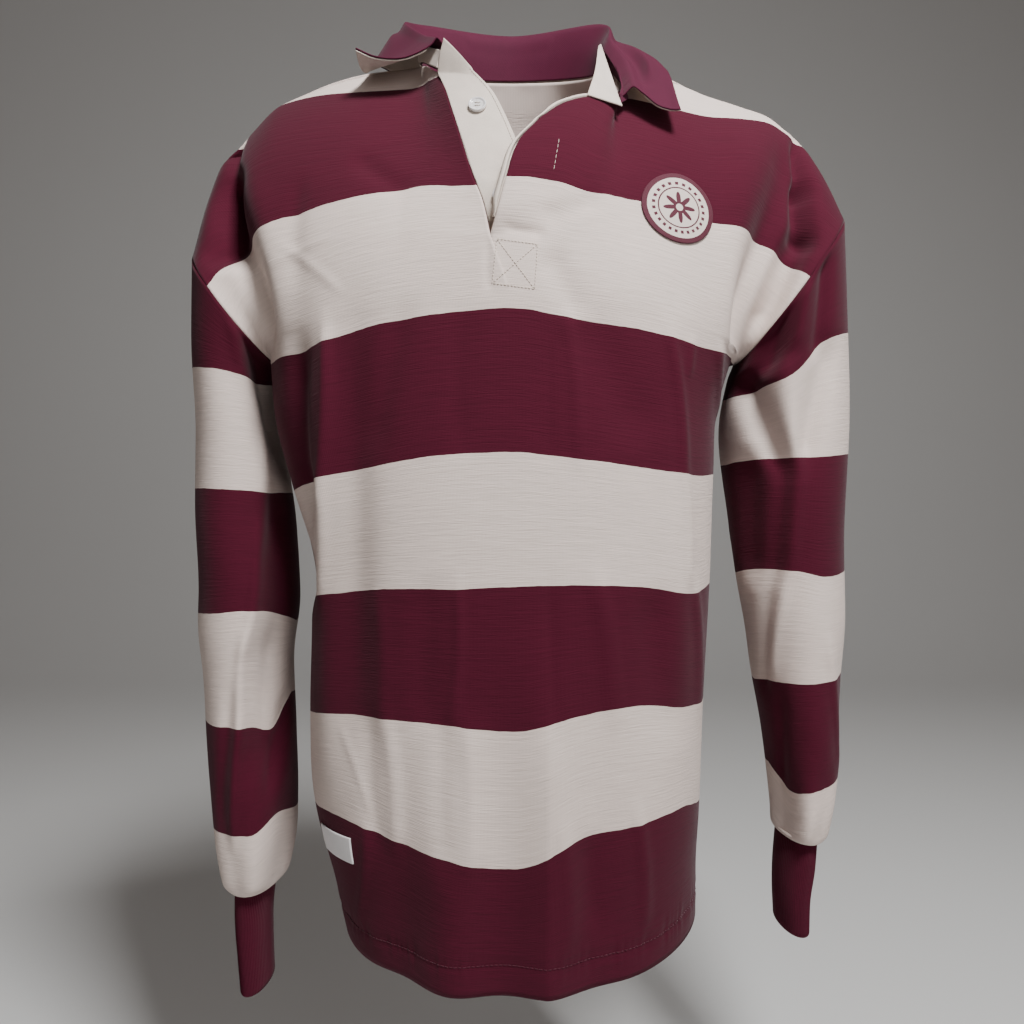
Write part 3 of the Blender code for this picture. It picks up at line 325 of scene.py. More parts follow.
# Creases. Columns: x0, z0, x1 and z1 of the ends, width0 and width1, half widths at the ends, and
# height, which is below 0 for a trough.
FRONT_CREASES = (
    # A groove beside the stitched box, and one from the facing's stitches down to its corner.
    (-0.0170, -0.1770, -0.0165, -0.2200, 0.0026, 0.0022, -0.0014),
    (0.0305, -0.1270, 0.0195, -0.1790, 0.0030, 0.0030, -0.0010),
    # Lengthwise folds of the hanging cloth, from the wearer's right to the left, below the waist.
    (-0.133, -0.545, -0.108, -0.612, 0.0025, 0.0025, 0.0010),
    (-0.111, -0.615, -0.122, -0.705, 0.0040, 0.0045, 0.0018),
    (-0.108, -0.530, -0.101, -0.640, 0.0080, 0.0080, -0.0026),
    (-0.101, -0.440, -0.099, -0.540, 0.0060, 0.0070, 0.0014),
    (-0.095, -0.530, -0.088, -0.640, 0.0060, 0.0060, 0.0022),
    (-0.062, -0.430, -0.063, -0.540, 0.0140, 0.0140, -0.0026),
    (-0.050, -0.535, -0.047, -0.650, 0.0080, 0.0090, -0.0022),
    (-0.040, -0.430, -0.045, -0.540, 0.0040, 0.0050, 0.0016),
    (-0.034, -0.530, -0.030, -0.650, 0.0070, 0.0080, 0.0022),
    (-0.011, -0.650, -0.008, -0.715, 0.0060, 0.0060, 0.0012),
    (0.014, -0.420, 0.018, -0.545, 0.0042, 0.0055, 0.0028),
    (0.028, -0.430, 0.034, -0.560, 0.0080, 0.0100, -0.0018),
    (0.037, -0.605, 0.042, -0.710, 0.0060, 0.0070, 0.0022),
    (0.060, -0.420, 0.077, -0.540, 0.0070, 0.0090, 0.0020),
    (0.059, -0.620, 0.062, -0.690, 0.0080, 0.0080, -0.0018),
    (0.094, -0.600, 0.101, -0.700, 0.0050, 0.0060, 0.0022),
    (0.104, -0.440, 0.126, -0.555, 0.0180, 0.0200, -0.0032),
    (0.142, -0.430, 0.151, -0.545, 0.0045, 0.0050, 0.0024),
    # Folds of the chest and the waist.
    (-0.143, -0.235, -0.149, -0.370, 0.0050, 0.0055, 0.0036),
    (-0.149, -0.350, -0.152, -0.455, 0.0055, 0.0060, 0.0028),
    (-0.167, -0.245, -0.166, -0.385, 0.0120, 0.0110, -0.0095),
    (-0.166, -0.350, -0.165, -0.455, 0.0110, 0.0100, -0.0060),
    (-0.078, -0.225, -0.103, -0.335, 0.0100, 0.0110, -0.0026),
    (-0.036, -0.230, -0.037, -0.335, 0.0100, 0.0100, -0.0014),
    (-0.182, -0.170, -0.130, -0.212, 0.0035, 0.0035, 0.0010),
    (-0.190, -0.186, -0.135, -0.168, 0.0030, 0.0030, 0.0008),
    (-0.124, -0.098, -0.080, -0.134, 0.0090, 0.0090, -0.0022),
    (-0.168, -0.115, -0.166, -0.205, 0.0080, 0.0100, -0.0020),
    (0.011, -0.230, 0.013, -0.340, 0.0045, 0.0050, 0.0008),
    (0.025, -0.232, 0.026, -0.340, 0.0070, 0.0080, -0.0012),
    (0.038, -0.222, 0.049, -0.342, 0.0050, 0.0060, 0.0014),
    (0.056, -0.230, 0.098, -0.325, 0.0200, 0.0220, -0.0034),
    (0.119, -0.240, 0.132, -0.355, 0.0042, 0.0048, 0.0026),
    (0.132, -0.345, 0.136, -0.440, 0.0050, 0.0050, 0.0022),
    (0.138, -0.245, 0.136, -0.275, 0.0030, 0.0030, 0.0014),
    (0.163, -0.245, 0.170, -0.300, 0.0040, 0.0040, 0.0020),
    # Pulls at the foot of the placket.
    (-0.006, -0.167, 0.024, -0.171, 0.0040, 0.0040, -0.0018),
    (0.022, -0.159, 0.068, -0.142, 0.0090, 0.0090, -0.0022),
    (0.028, -0.186, 0.050, -0.232, 0.0100, 0.0140, -0.0026),
    # The deep grooves between the chest and the sleeves.
    (-0.240, -0.050, -0.236, -0.110, 0.0060, 0.0100, -0.0100),
    (-0.236, -0.095, -0.232, -0.178, 0.0100, 0.0160, -0.0230),
    (0.247, -0.055, 0.246, -0.115, 0.0050, 0.0070, -0.0100),
    (0.246, -0.100, 0.238, -0.165, 0.0080, 0.0100, -0.0180),
    (0.237, -0.150, 0.205, -0.240, 0.0110, 0.0110, -0.0160),
)
BACK_CREASES = (
    (-0.236, -0.060, -0.226, -0.170, 0.0100, 0.0160, -0.0150),
    (0.240, -0.060, 0.230, -0.170, 0.0090, 0.0150, -0.0150),
    (-0.185, -0.170, -0.105, -0.300, 0.0120, 0.0160, -0.0040),
    (0.190, -0.170, 0.120, -0.290, 0.0110, 0.0150, -0.0036),
    (-0.150, -0.230, -0.060, -0.330, 0.0070, 0.0090, 0.0026),
    (0.150, -0.220, 0.075, -0.320, 0.0070, 0.0080, 0.0024),
    (-0.095, -0.420, -0.090, -0.640, 0.0080, 0.0100, -0.0030),
    (-0.060, -0.400, -0.052, -0.620, 0.0060, 0.0080, 0.0026),
    (0.005, -0.430, 0.010, -0.660, 0.0100, 0.0120, -0.0026),
    (0.040, -0.390, 0.052, -0.600, 0.0060, 0.0080, 0.0024),
    (0.100, -0.430, 0.112, -0.650, 0.0090, 0.0110, -0.0034),
    (0.132, -0.380, 0.140, -0.560, 0.0050, 0.0070, 0.0026),
    (-0.135, -0.360, -0.142, -0.560, 0.0060, 0.0070, 0.0028),
    (-0.070, -0.090, 0.060, -0.098, 0.0120, 0.0120, -0.0016),
)


def crease_push(point, creases):
    """Sum of the creases' heights at each point, each dying away at both of its ends."""
    total = np.zeros(point.shape[:-1])
    for x0, z0, x1, z1, width0, width1, height in creases:
        run = np.array([x1 - x0, z1 - z0])
        length = np.linalg.norm(run)
        off = point[..., [0, 2]] - (x0, z0)
        at = off @ run / length ** 2
        across = (off @ np.array([-run[1], run[0]])) / length
        bend = 0.03 * length * np.sin(math.pi * np.clip(at, 0, 1)) * (1 if height > 0 else -1)
        width = width0 + (width1 - width0) * np.clip(at, 0, 1)
        ends = smoothstep(-0.12, 0.22, at) * smoothstep(1.12, 0.78, at)
        total += height * np.exp(-(((across - bend) / width) ** 2)) * ends
    return total


def sheet_object(name, grids):
    """A sheet of cloth from grids of points and of their places in the flat cloth, in metres.

    Each grid is (points, flat, flip, closed): closed joins its last column to its first.
    """
    verts, faces, flats = [], [], []
    for points, flat, flip, closed in grids:
        rows, columns = points.shape[:2]
        first = len(verts)
        used = columns - 1 if closed else columns
        verts.extend(points[:, :used].reshape(-1, 3).tolist())
        index = first + np.arange(rows * used).reshape(rows, used)
        for r in range(rows - 1):
            for c in range(columns - 1):
                d = (c + 1) % used
                corner = [(r, c, c), (r, d, c + 1), (r + 1, d, c + 1), (r + 1, c, c)]
                if flip:
                    corner.reverse()
                faces.append([int(index[i, j]) for i, j, _ in corner])
                flats.extend(flat[i, k] for i, _, k in corner)
    mesh = bpy.data.meshes.new(name)
    mesh.from_pydata(verts, [], faces)
    layer = mesh.uv_layers.new(name="Cloth")
    layer.data.foreach_set("uv", np.asarray(flats, np.float32).ravel())
    obj = bpy.data.objects.new(name, mesh)
    bpy.context.scene.collection.objects.link(obj)
    bm = bmesh.new()
    bm.from_mesh(mesh)
    bmesh.ops.remove_doubles(bm, verts=bm.verts, dist=2e-5)
    bm.to_mesh(mesh)
    bm.free()
    mesh.shade_smooth()
    return obj


def give_wall(obj, thickness, offset=-1.0):
    """The cloth's thickness, on the side away from the faces."""
    solid = obj.modifiers.new("Wall", "SOLIDIFY")
    solid.thickness = thickness
    solid.offset = offset
    solid.use_even_offset = False
    bpy.context.view_layer.objects.active = obj
    obj.select_set(True)
    bpy.ops.object.modifier_apply(modifier=solid.name)
    obj.select_set(False)


def soften(point, weight, rounds):
    """Evens out a grid of points from column to column where weight is above 0."""
    for _ in range(rounds):
        middle = (point[:, :-2] + point[:, 2:]) / 2
        point[:, 1:-1] += weight[:, 1:-1, None] * (middle - point[:, 1:-1])
    return point


TURN_UP = 0.022         # the hem is turned up and sewn this far above its edge
HEM_SUNK = 0.0010       # its row of stitches draws the cloth in this far
HEM_PUCKER = 0.0005     # height of the small waves beside that row
SOFTEN_ROUNDS = 56      # below the collar the front is evened out this often
MEETING = 0.0012        # rows whose ends are nearer than this are one piece of cloth
BAND = 12               # columns on each side of the middle that are evened out across the join


def length_up(point):
    """Length of the cloth from its lower edge up to each point of a grid."""
    return np.cumsum(np.linalg.norm(np.diff(point, axis=0, prepend=point[:1]), axis=-1), axis=0)


def panel_grid(side, face, columns, rows, creases):
    """A half of the front or the back, from the middle to its side seam and armhole."""
    u, v = np.meshgrid(np.linspace(0, 1, columns), np.linspace(0, 1, rows))
    share = u * (1 - SEAM_GAP / 0.40)
    rise = -1 + v * (2 - 0.6 * SEAM_GAP / 0.20)
    if face < 0 < side:
        matched = np.interp(rise, (-1, 0, foot_rise(-1), 1), (-1, 0, foot_rise(1), 1))
        rise = rise + (matched - rise) * smoothstep(0.35, 0.0, share)
    point, out = panel(side, face, share, rise)
    height = cloth_height(side, face, share, rise)
    if face < 0:
        below_collar = smoothstep(0.35, 0.55, rise) * smoothstep(0.14, 0.26, share)
        point = soften(point, below_collar * smoothstep(0.62, 0.46, share), SOFTEN_ROUNDS)
    seam = smoothstep(1.0, 0.93, share)
    point = point + out * (crease_push(point, creases) * seam)[..., None]
    from_row = length_up(point) - TURN_UP
    sunk = -HEM_SUNK * np.exp(-((from_row / 0.0028) ** 2))
    waves = np.sin(share * 150 + 4 * np.sin(share * 31))
    pucker = HEM_PUCKER * waves * np.exp(-((from_row / 0.0100) ** 2))
    point = point + out * (sunk + pucker)[..., None]
    edges = HOOP_EDGES
    if face > 0:
        beside_neck = int(0.40 * columns)
        climbing = np.maximum.accumulate(point[:, beside_neck, 2])
        level = np.interp(point[..., 2], climbing, height[:, beside_neck])
        height = height + (level - height) * smoothstep(0.46, 0.34, share)
        edges = []
        for k, row in enumerate(HOOP_EDGES):
            even = FIRST_HOOP + HOOP * k
            ends = (row[0], even, even, row[-1])
            edges.append(tuple(spline((-1, -0.5, 0.5, 1), ends, np.array(HOOP_STATIONS))))
    flat = np.stack([side * share * 0.27, knitted_height(height, side * share, edges)], axis=-1)
    return point, flat, (side < 0) == (face < 0), False


FRONT_GRIDS = [panel_grid(-1, -1, 102, 230, FRONT_CREASES), panel_grid(1, -1, 110, 230, FRONT_CREASES)]
BACK_GRIDS = [panel_grid(-1, 1, 90, 230, BACK_CREASES), panel_grid(1, 1, 90, 230, BACK_CREASES)]
# The halves are joined down the middle, and the cloth is evened out across the join.
for one, other in ((FRONT_GRIDS[0][0], FRONT_GRIDS[1][0]), (BACK_GRIDS[0][0], BACK_GRIDS[1][0])):
    whole = int(np.sum(np.linalg.norm(one[:, 0] - other[:, 0], axis=-1) < MEETING))
    one[:whole, 0] = other[:whole, 0] = (one[:whole, 0] + other[:whole, 0]) / 2
    band = np.concatenate([one[:whole, BAND:0:-1], other[:whole, :BAND + 1]], axis=1)
    across = 1 - np.abs(np.linspace(-1, 1, 2 * BAND + 1)) ** 4
    up = smoothstep(whole, whole - 12, np.arange(whole))
    band = soften(band, np.outer(up, across), 25)
    one[:whole, BAND:0:-1], other[:whole, :BAND + 1] = band[:, :BAND], band[:, BAND:]
    one[:whole, 0] = band[:, BAND]
front = sheet_object("front_panel", FRONT_GRIDS)
back = sheet_object("back_panel", BACK_GRIDS)


def add_node(tree, kind, inputs=None, **settings):
    """A shader node with its settings, and its inputs set or linked by name."""
    made = tree.nodes.new("ShaderNode" + kind)
    for name, value in settings.items():
        setattr(made, name, value)
    for socket, value in (inputs or {}).items():
        if isinstance(value, bpy.types.NodeSocket):
            tree.links.new(value, made.inputs[socket])
        else:
            made.inputs[socket].default_value = value
    return made


def knit_group():
    """Slubbed single jersey: thick and thin courses, and the loops' columns and rows."""
    tree = bpy.data.node_groups.new("Slub knit", "ShaderNodeTree")
    for name, kind, value in (("Flat", "NodeSocketVector", None), ("Yarn", "NodeSocketColor", None),
                              ("Slub", "NodeSocketFloat", 0.3), ("Loops", "NodeSocketFloat", 0.3)):
        socket = tree.interface.new_socket(name, in_out="INPUT", socket_type=kind)
        if value is not None:
            socket.default_value = value
    tree.interface.new_socket("Colour", in_out="OUTPUT", socket_type="NodeSocketColor")
    tree.interface.new_socket("Height", in_out="OUTPUT", socket_type="NodeSocketFloat")
    given = tree.nodes.new("NodeGroupInput")
    out = tree.nodes.new("NodeGroupOutput")

    def noise(across, up, detail, rough):
        scaled = add_node(tree, "VectorMath", {0: given.outputs["Flat"], 1: (across, up, 1)},
                          operation="MULTIPLY")
        return add_node(tree, "TexNoise", {"Vector": scaled.outputs[0], "Scale": 1.0, "Detail": detail,
                                           "Roughness": rough}).outputs["Fac"]

    def maths(operation, a, b=0.0, c=0.0):
        return add_node(tree, "Math", {0: a, 1: b, 2: c}, operation=operation).outputs[0]

    slub = noise(26, 520, 2.0, 0.55)
    thread = noise(90, 1500, 1.0, 0.5)
    cloud = noise(14, 18, 3.0, 0.6)
    both = maths("ADD", maths("MULTIPLY", slub, 0.62), maths("MULTIPLY", thread, 0.38))
    spread = maths("MULTIPLY_ADD", maths("SUBTRACT", both, 0.5), 2.6, 0.5)
    shade = maths("MULTIPLY", maths("SUBTRACT", spread, 0.5), given.outputs["Slub"])
    cloudy = maths("MULTIPLY", maths("SUBTRACT", cloud, 0.5), maths("MULTIPLY", given.outputs["Slub"], 0.55))
    factor = maths("ADD", maths("ADD", shade, cloudy), 1.0)
    tint = add_node(tree, "VectorMath", {0: given.outputs["Yarn"], "Scale": factor}, operation="SCALE")
    parts = add_node(tree, "SeparateXYZ", {0: given.outputs["Flat"]})
    wale = maths("SINE", maths("MULTIPLY", parts.outputs[0], 2 * math.pi / 0.0011))
    course = maths("SINE", maths("MULTIPLY", parts.outputs[1], 2 * math.pi / 0.0012))
    loops = maths("MULTIPLY", maths("ADD", wale, maths("MULTIPLY", course, 0.8)), given.outputs["Loops"])
    height = maths("ADD", maths("MULTIPLY", loops, 0.25), spread)
    tree.links.new(tint.outputs[0], out.inputs["Colour"])
    tree.links.new(height, out.inputs["Height"])
    return tree


SLUB_KNIT = knit_group()
MAROON = (0.060, 0.0034, 0.0145, 1)
ECRU = (0.655, 0.550, 0.500, 1)


def cloth_material(name, roughness=0.94, sheen=0.06):
    made = bpy.data.materials.new(name)
    made.use_nodes = True
    shader = made.node_tree.nodes["Principled BSDF"]
    shader.inputs["Roughness"].default_value = roughness
    shader.inputs["Specular IOR Level"].default_value = 0.18
    shader.inputs["Sheen Weight"].default_value = sheen
    shader.inputs["Sheen Roughness"].default_value = 0.45
    return made, made.node_tree, shader


def knit_into(tree, shader, yarn, slub, loops, bump, distance=0.0004):
    """Puts the knit into a material: its colour, and its relief as a bump."""
    flat = add_node(tree, "UVMap", uv_map="Cloth").outputs[0]
    knit = tree.nodes.new("ShaderNodeGroup")
    knit.node_tree = SLUB_KNIT
    tree.links.new(flat, knit.inputs["Flat"])
    if isinstance(yarn, bpy.types.NodeSocket):
        tree.links.new(yarn, knit.inputs["Yarn"])
    else:
        knit.inputs["Yarn"].default_value = yarn
    for name, value in (("Slub", slub), ("Loops", loops)):
        if isinstance(value, bpy.types.NodeSocket):
            tree.links.new(value, knit.inputs[name])
        else:
            knit.inputs[name].default_value = value
    relief = add_node(tree, "Bump", {"Height": knit.outputs["Height"], "Strength": bump,
                                     "Distance": distance})
    tree.links.new(knit.outputs["Colour"], shader.inputs["Base Color"])
    tree.links.new(relief.outputs[0], shader.inputs["Normal"])
    return flat, knit, relief


def hoop_mask(tree, flat):
    """1 in the maroon hoops and 0 in the ecru ones, with the knit's slightly uneven edge."""
    parts = add_node(tree, "SeparateXYZ", {0: flat})
    waver = add_node(tree, "VectorMath", {0: flat, 1: (55, 6, 1)}, operation="MULTIPLY")
    noise = add_node(tree, "TexNoise", {"Vector": waver.outputs[0], "Scale": 1.0, "Detail": 2.0})
    moved = add_node(tree, "Math", {0: noise.outputs["Fac"], 1: 0.0016, 2: parts.outputs[1]},
                     operation="MULTIPLY_ADD")
    turns = add_node(tree, "Math", {0: moved.outputs[0], 1: 0.0008 + FIRST_HOOP}, operation="SUBTRACT")
    turns = add_node(tree, "Math", {0: turns.outputs[0], 1: 1 / (2 * HOOP)}, operation="MULTIPLY")
    part = add_node(tree, "Math", {0: turns.outputs[0]}, operation="FRACT")
    return add_node(tree, "Math", {0: part.outputs[0], 1: 0.5}, operation="GREATER_THAN").outputs[0]


def hooped_material(name):
    made, tree, shader = cloth_material(name)
    flat = add_node(tree, "UVMap", uv_map="Cloth").outputs[0]
    mask = hoop_mask(tree, flat)
    yarn = add_node(tree, "Mix", {0: mask, 6: ECRU, 7: MAROON}, data_type="RGBA")
    slub = add_node(tree, "Mix", {0: mask, 2: 0.15, 3: 0.18}, data_type="FLOAT")
    knit_into(tree, shader, yarn.outputs[2], slub.outputs[0], 0.35, 0.55)
    return made


HOOPED = hooped_material("Hooped jersey knit")
for obj, node in ((front, "front"), (back, "back")):
    give_wall(obj, CLOTH)
    obj.data.materials.append(HOOPED)
    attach(obj, "root")
    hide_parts(node)


# Sleeves: long, in the same hooped jersey, each one piece folded round the arm, sewn into the
# armhole and gathered into its cuff, over which the end blouses.
SLEEVE_COLUMNS = ("along", "x", "y", "z", "half_x", "half_z", "depth")
SLEEVE = {
    -1: (
        (0.000, 0.2400, 0.000, -0.2050, 0.0337, 0.0450, 0.0660),
        (0.060, 0.2432, 0.008, -0.2560, 0.0335, 0.0150, 0.0665),
        (0.130, 0.2405, 0.013, -0.3180, 0.0345, 0.0040, 0.0665),
        (0.210, 0.2355, 0.015, -0.3980, 0.0390, 0.0010, 0.0655),
        (0.270, 0.2320, 0.015, -0.4600, 0.0420, 0.0000, 0.0640),
        (0.330, 0.2330, 0.015, -0.5150, 0.0372, 0.0000, 0.0610),
        (0.390, 0.2310, 0.014, -0.5750, 0.0366, 0.0000, 0.0590),
        (0.450, 0.2278, 0.012, -0.6320, 0.0345, 0.0000, 0.0560),
        (0.490, 0.2262, 0.010, -0.6750, 0.0290, 0.0000, 0.0520),
        (0.512, 0.2262, 0.009, -0.6980, 0.0235, 0.0000, 0.0460),
        (0.524, 0.2262, 0.009, -0.7035, 0.0195, 0.0000, 0.0410),
        (0.532, 0.2262, 0.009, -0.6995, 0.0172, 0.0000, 0.0385),
    ),
    1: (
        (0.000, 0.2415, 0.000, -0.1880, 0.0445, 0.0616, 0.0640),
        (0.060, 0.2420, 0.008, -0.2420, 0.0500, 0.0230, 0.0660),
        (0.130, 0.2405, 0.013, -0.3050, 0.0530, 0.0060, 0.0650),
        (0.210, 0.2435, 0.015, -0.3880, 0.0490, 0.0010, 0.0640),
        (0.270, 0.2465, 0.015, -0.4500, 0.0445, 0.0000, 0.0620),
        (0.330, 0.2500, 0.015, -0.5080, 0.0380, 0.0000, 0.0600),
        (0.390, 0.2545, 0.014, -0.5700, 0.0300, 0.0000, 0.0580),
        (0.440, 0.2560, 0.012, -0.6150, 0.0245, 0.0000, 0.0540),
        (0.465, 0.2545, 0.010, -0.6420, 0.0205, 0.0000, 0.0500),
        (0.480, 0.2530, 0.009, -0.6560, 0.0190, 0.0000, 0.0450),
        (0.490, 0.2525, 0.009, -0.6600, 0.0175, 0.0000, 0.0410),
        (0.498, 0.2520, 0.009, -0.6560, 0.0165, 0.0000, 0.0390),
    ),
}


def sleeve_ring(side, at, turn, table, columns):
    """Point of a sleeve or cuff ring. turn: 0 to 1 round the arm, from its underside forward."""
    value = {name: read(table, columns, name, at) for name in columns[1:]}
    angle = 2 * math.pi * np.asarray(turn, float)
    half_z = value.get("half_z", 0.0)
    return np.stack([
        side * (value["x"] - np.cos(angle) * value["half_x"]),
        value["y"] - np.sin(angle) * value["depth"],
        value["z"] - np.cos(angle) * half_z,
    ], axis=-1)


def sleeve_point(side, turn, at):
    """Point of a sleeve with its folds. at: length along the sleeve."""
    point = sleeve_ring(side, at, turn, SLEEVE[side], SLEEVE_COLUMNS)
    centre = np.stack([side * read(SLEEVE[side], SLEEVE_COLUMNS, "x", at),
                       read(SLEEVE[side], SLEEVE_COLUMNS, "y", at), point[..., 2]], axis=-1)
    out = point - centre
    out /= np.linalg.norm(out, axis=-1, keepdims=True)
    angle = 2 * math.pi * np.asarray(turn, float)
    twist = np.sin(2 * angle + 16 * at + side) * smoothstep(0.05, 0.15, at) * smoothstep(0.26, 0.18, at)
    elbow = ridge(at, 0.30, 0.035) * np.cos(angle + 0.6)
    left = SLEEVE[side][-1][0] - at
    blouse = np.cos(5 * angle + 0.7) * smoothstep(0.11, 0.04, left) * smoothstep(0.006, 0.024, left)
    push = 0.0028 * twist - 0.0022 * elbow + 0.0028 * blouse
    return point + out * push[..., None]


# Lengths down the sleeve of the hoops' edges, at places round the arm: 0 is its inner side,
# 0.25 its front and 0.5 its outer side.
SLEEVE_TURNS = (0.0, 0.1, 0.2, 0.3, 0.4, 0.5, 0.75)
SLEEVE_HOOPS = {
    -1: ((0.052, 0.060, 0.064, 0.070, 0.073, 0.076, 0.066), (0.173, 0.174, 0.173, 0.173, 0.173, 0.173, 0.173),
         (0.287, 0.276, 0.271, 0.273, 0.275, 0.277, 0.278), (0.354, 0.381, 0.374, 0.373, 0.372, 0.371, 0.365),
         (0.458, 0.454, 0.465, 0.465, 0.464, 0.463, 0.460)),
    1: ((0.088, 0.087, 0.086, 0.064, 0.064, 0.066, 0.078), (0.159, 0.157, 0.158, 0.159, 0.157, 0.156, 0.157),
        (0.253, 0.248, 0.248, 0.253, 0.250, 0.247, 0.250), (0.349, 0.345, 0.344, 0.342, 0.338, 0.335, 0.342),
        (0.425, 0.442, 0.438, 0.434, 0.427, 0.420, 0.428)),
}
# Creases. Columns: turn0, at0, turn1 and at1, turn and length down the sleeve of the ends, width0
# and width1, half widths at the ends, and height, which is below 0 for a trough.
SLEEVE_CREASES = {
    -1: (
        (0.190, -0.010, 0.085, 0.120, 0.009, 0.010, 0.0040),
        (0.110, -0.020, 0.020, 0.150, 0.018, 0.018, -0.0110),
        (0.080, 0.110, 0.140, 0.225, 0.007, 0.007, 0.0030),
        (0.140, 0.200, 0.205, 0.310, 0.006, 0.006, 0.0040),
        (0.205, 0.290, 0.225, 0.390, 0.006, 0.007, 0.0046),
        (0.225, 0.370, 0.280, 0.475, 0.006, 0.007, 0.0040),
        (0.070, 0.170, 0.115, 0.310, 0.017, 0.017, -0.0070),
        (0.115, 0.290, 0.150, 0.420, 0.018, 0.020, -0.0110),
        (0.020, 0.350, 0.150, 0.440, 0.010, 0.010, -0.0050),
        (0.250, 0.340, 0.330, 0.460, 0.007, 0.008, -0.0030),
        (0.520, 0.030, 0.600, 0.150, 0.012, 0.014, -0.0035),
        (0.700, 0.040, 0.560, 0.200, 0.010, 0.012, 0.0030),
        (0.800, 0.160, 0.640, 0.300, 0.012, 0.013, -0.0045),
        (0.620, 0.300, 0.760, 0.430, 0.009, 0.010, 0.0035),
        (0.900, 0.240, 0.860, 0.420, 0.014, 0.014, -0.0050),
        (0.480, 0.380, 0.560, 0.480, 0.007, 0.008, -0.0025),
    ),
    1: (
        (0.245, -0.010, 0.215, 0.060, 0.006, 0.006, 0.0040),
        (0.305, -0.010, 0.272, 0.075, 0.007, 0.008, -0.0070),
        (0.160, -0.010, 0.150, 0.075, 0.012, 0.012, -0.0090),
        (0.180, 0.055, 0.232, 0.165, 0.012, 0.005, 0.0060),
        (0.070, 0.060, 0.200, 0.175, 0.012, 0.009, -0.0100),
        (0.310, 0.060, 0.245, 0.170, 0.012, 0.009, -0.0075),
        (0.110, 0.150, 0.085, 0.260, 0.016, 0.016, -0.0060),
        (0.240, 0.150, 0.197, 0.250, 0.006, 0.006, 0.0030),
        (0.197, 0.240, 0.094, 0.350, 0.006, 0.006, 0.0030),
        (0.200, 0.165, 0.150, 0.260, 0.008, 0.009, -0.0040),
        (0.150, 0.250, 0.060, 0.360, 0.009, 0.009, -0.0036),
        (0.300, 0.300, 0.400, 0.430, 0.007, 0.007, 0.0024),
        (0.130, 0.350, 0.070, 0.440, 0.008, 0.008, -0.0035),
        (0.520, 0.020, 0.620, 0.140, 0.012, 0.014, -0.0035),
        (0.720, 0.030, 0.580, 0.180, 0.010, 0.012, 0.0030),
        (0.820, 0.150, 0.660, 0.280, 0.012, 0.013, -0.0045),
        (0.640, 0.290, 0.760, 0.400, 0.009, 0.010, 0.0035),
        (0.930, 0.230, 0.880, 0.400, 0.014, 0.014, -0.0045),
    ),
}


def sleeve_push(side, turn, at):
    """Creases of a sleeve. They are laid out on its flat cloth, 0.30 m round."""
    total = np.zeros(np.shape(turn))
    for turn0, at0, turn1, at1, width0, width1, height in SLEEVE_CREASES[side]:
        run = np.array([(turn1 - turn0) * 0.30, at1 - at0])
        length = np.linalg.norm(run)
        near = (turn - turn0 + 0.5) % 1.0 - 0.5
        off = np.stack([near * 0.30, at - at0], axis=-1)
        along_it = off @ run / length ** 2
        across = (off @ np.array([-run[1], run[0]])) / length
        width = width0 + (width1 - width0) * np.clip(along_it, 0, 1)
        ends = smoothstep(-0.10, 0.22, along_it) * smoothstep(1.10, 0.78, along_it)
        total += height * np.exp(-((across / width) ** 2)) * ends
    return total * smoothstep(0.0, 0.012, at)


def sleeve_grid(side, columns, rows):
    last = SLEEVE[side][-1][0]
    u, v = np.meshgrid(np.linspace(0, 1, columns), np.linspace(0, 1, rows))
    at = SEAM_GAP + v ** 0.92 * (last - SEAM_GAP)
    point = sleeve_point(side, u, at)
    centre = np.stack([side * read(SLEEVE[side], SLEEVE_COLUMNS, "x", at),
                       read(SLEEVE[side], SLEEVE_COLUMNS, "y", at), point[..., 2]], axis=-1)
    out = point - centre
    out /= np.linalg.norm(out, axis=-1, keepdims=True)
    point = point + out * sleeve_push(side, u, at)[..., None]
    round_it = [spline((*SLEEVE_TURNS, 1.0), (*row, row[0]), u) for row in SLEEVE_HOOPS[side]]
    levels = [0 * u - 0.06, *round_it, 0 * u + 0.58]
    even = [0.711 - 0.103 * k for k in range(-1, 6)]
    knit = np.zeros(u.shape)
    for low, high, a, b in zip(levels, levels[1:], even, even[1:]):
        inside = (at >= low) & (at <= high)
        knit = np.where(inside, a + (b - a) * (at - low) / (high - low), knit)
    knit -= HOOP
    return point, np.stack([u * 0.30, knit], axis=-1), side > 0, True


for side, name in ((-1, "right"), (1, "left")):
    sleeve = sheet_object("sleeve_" + name + "_cloth", [sleeve_grid(side, 161, 190)])
    give_wall(sleeve, CLOTH)
    sleeve.data.materials.append(HOOPED)
    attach(sleeve, "root")
    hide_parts("sleeve_" + name)


# Cuffs: maroon rib, knitted with its own stretch and pulled in by it, open at the hand.
CUFF_COLUMNS = ("along", "x", "y", "z", "half_x", "depth")
CUFF = {
    -1: ((0.00, 0.2262, 0.009, -0.6990, 0.0159, 0.0372), (0.03, 0.2275, 0.007, -0.7300, 0.0138, 0.0360),
         (0.06, 0.2255, 0.004, -0.7600, 0.0126, 0.0345), (0.088, 0.2232, 0.002, -0.7880, 0.0118, 0.0335)),
    1: ((0.00, 0.2520, 0.009, -0.6555, 0.0145, 0.0370), (0.03, 0.2490, 0.007, -0.6850, 0.0150, 0.0360),
        (0.06, 0.2455, 0.004, -0.7130, 0.0132, 0.0345), (0.084, 0.2450, 0.002, -0.7380, 0.0122, 0.0335)),
}
RIB = 0.0023


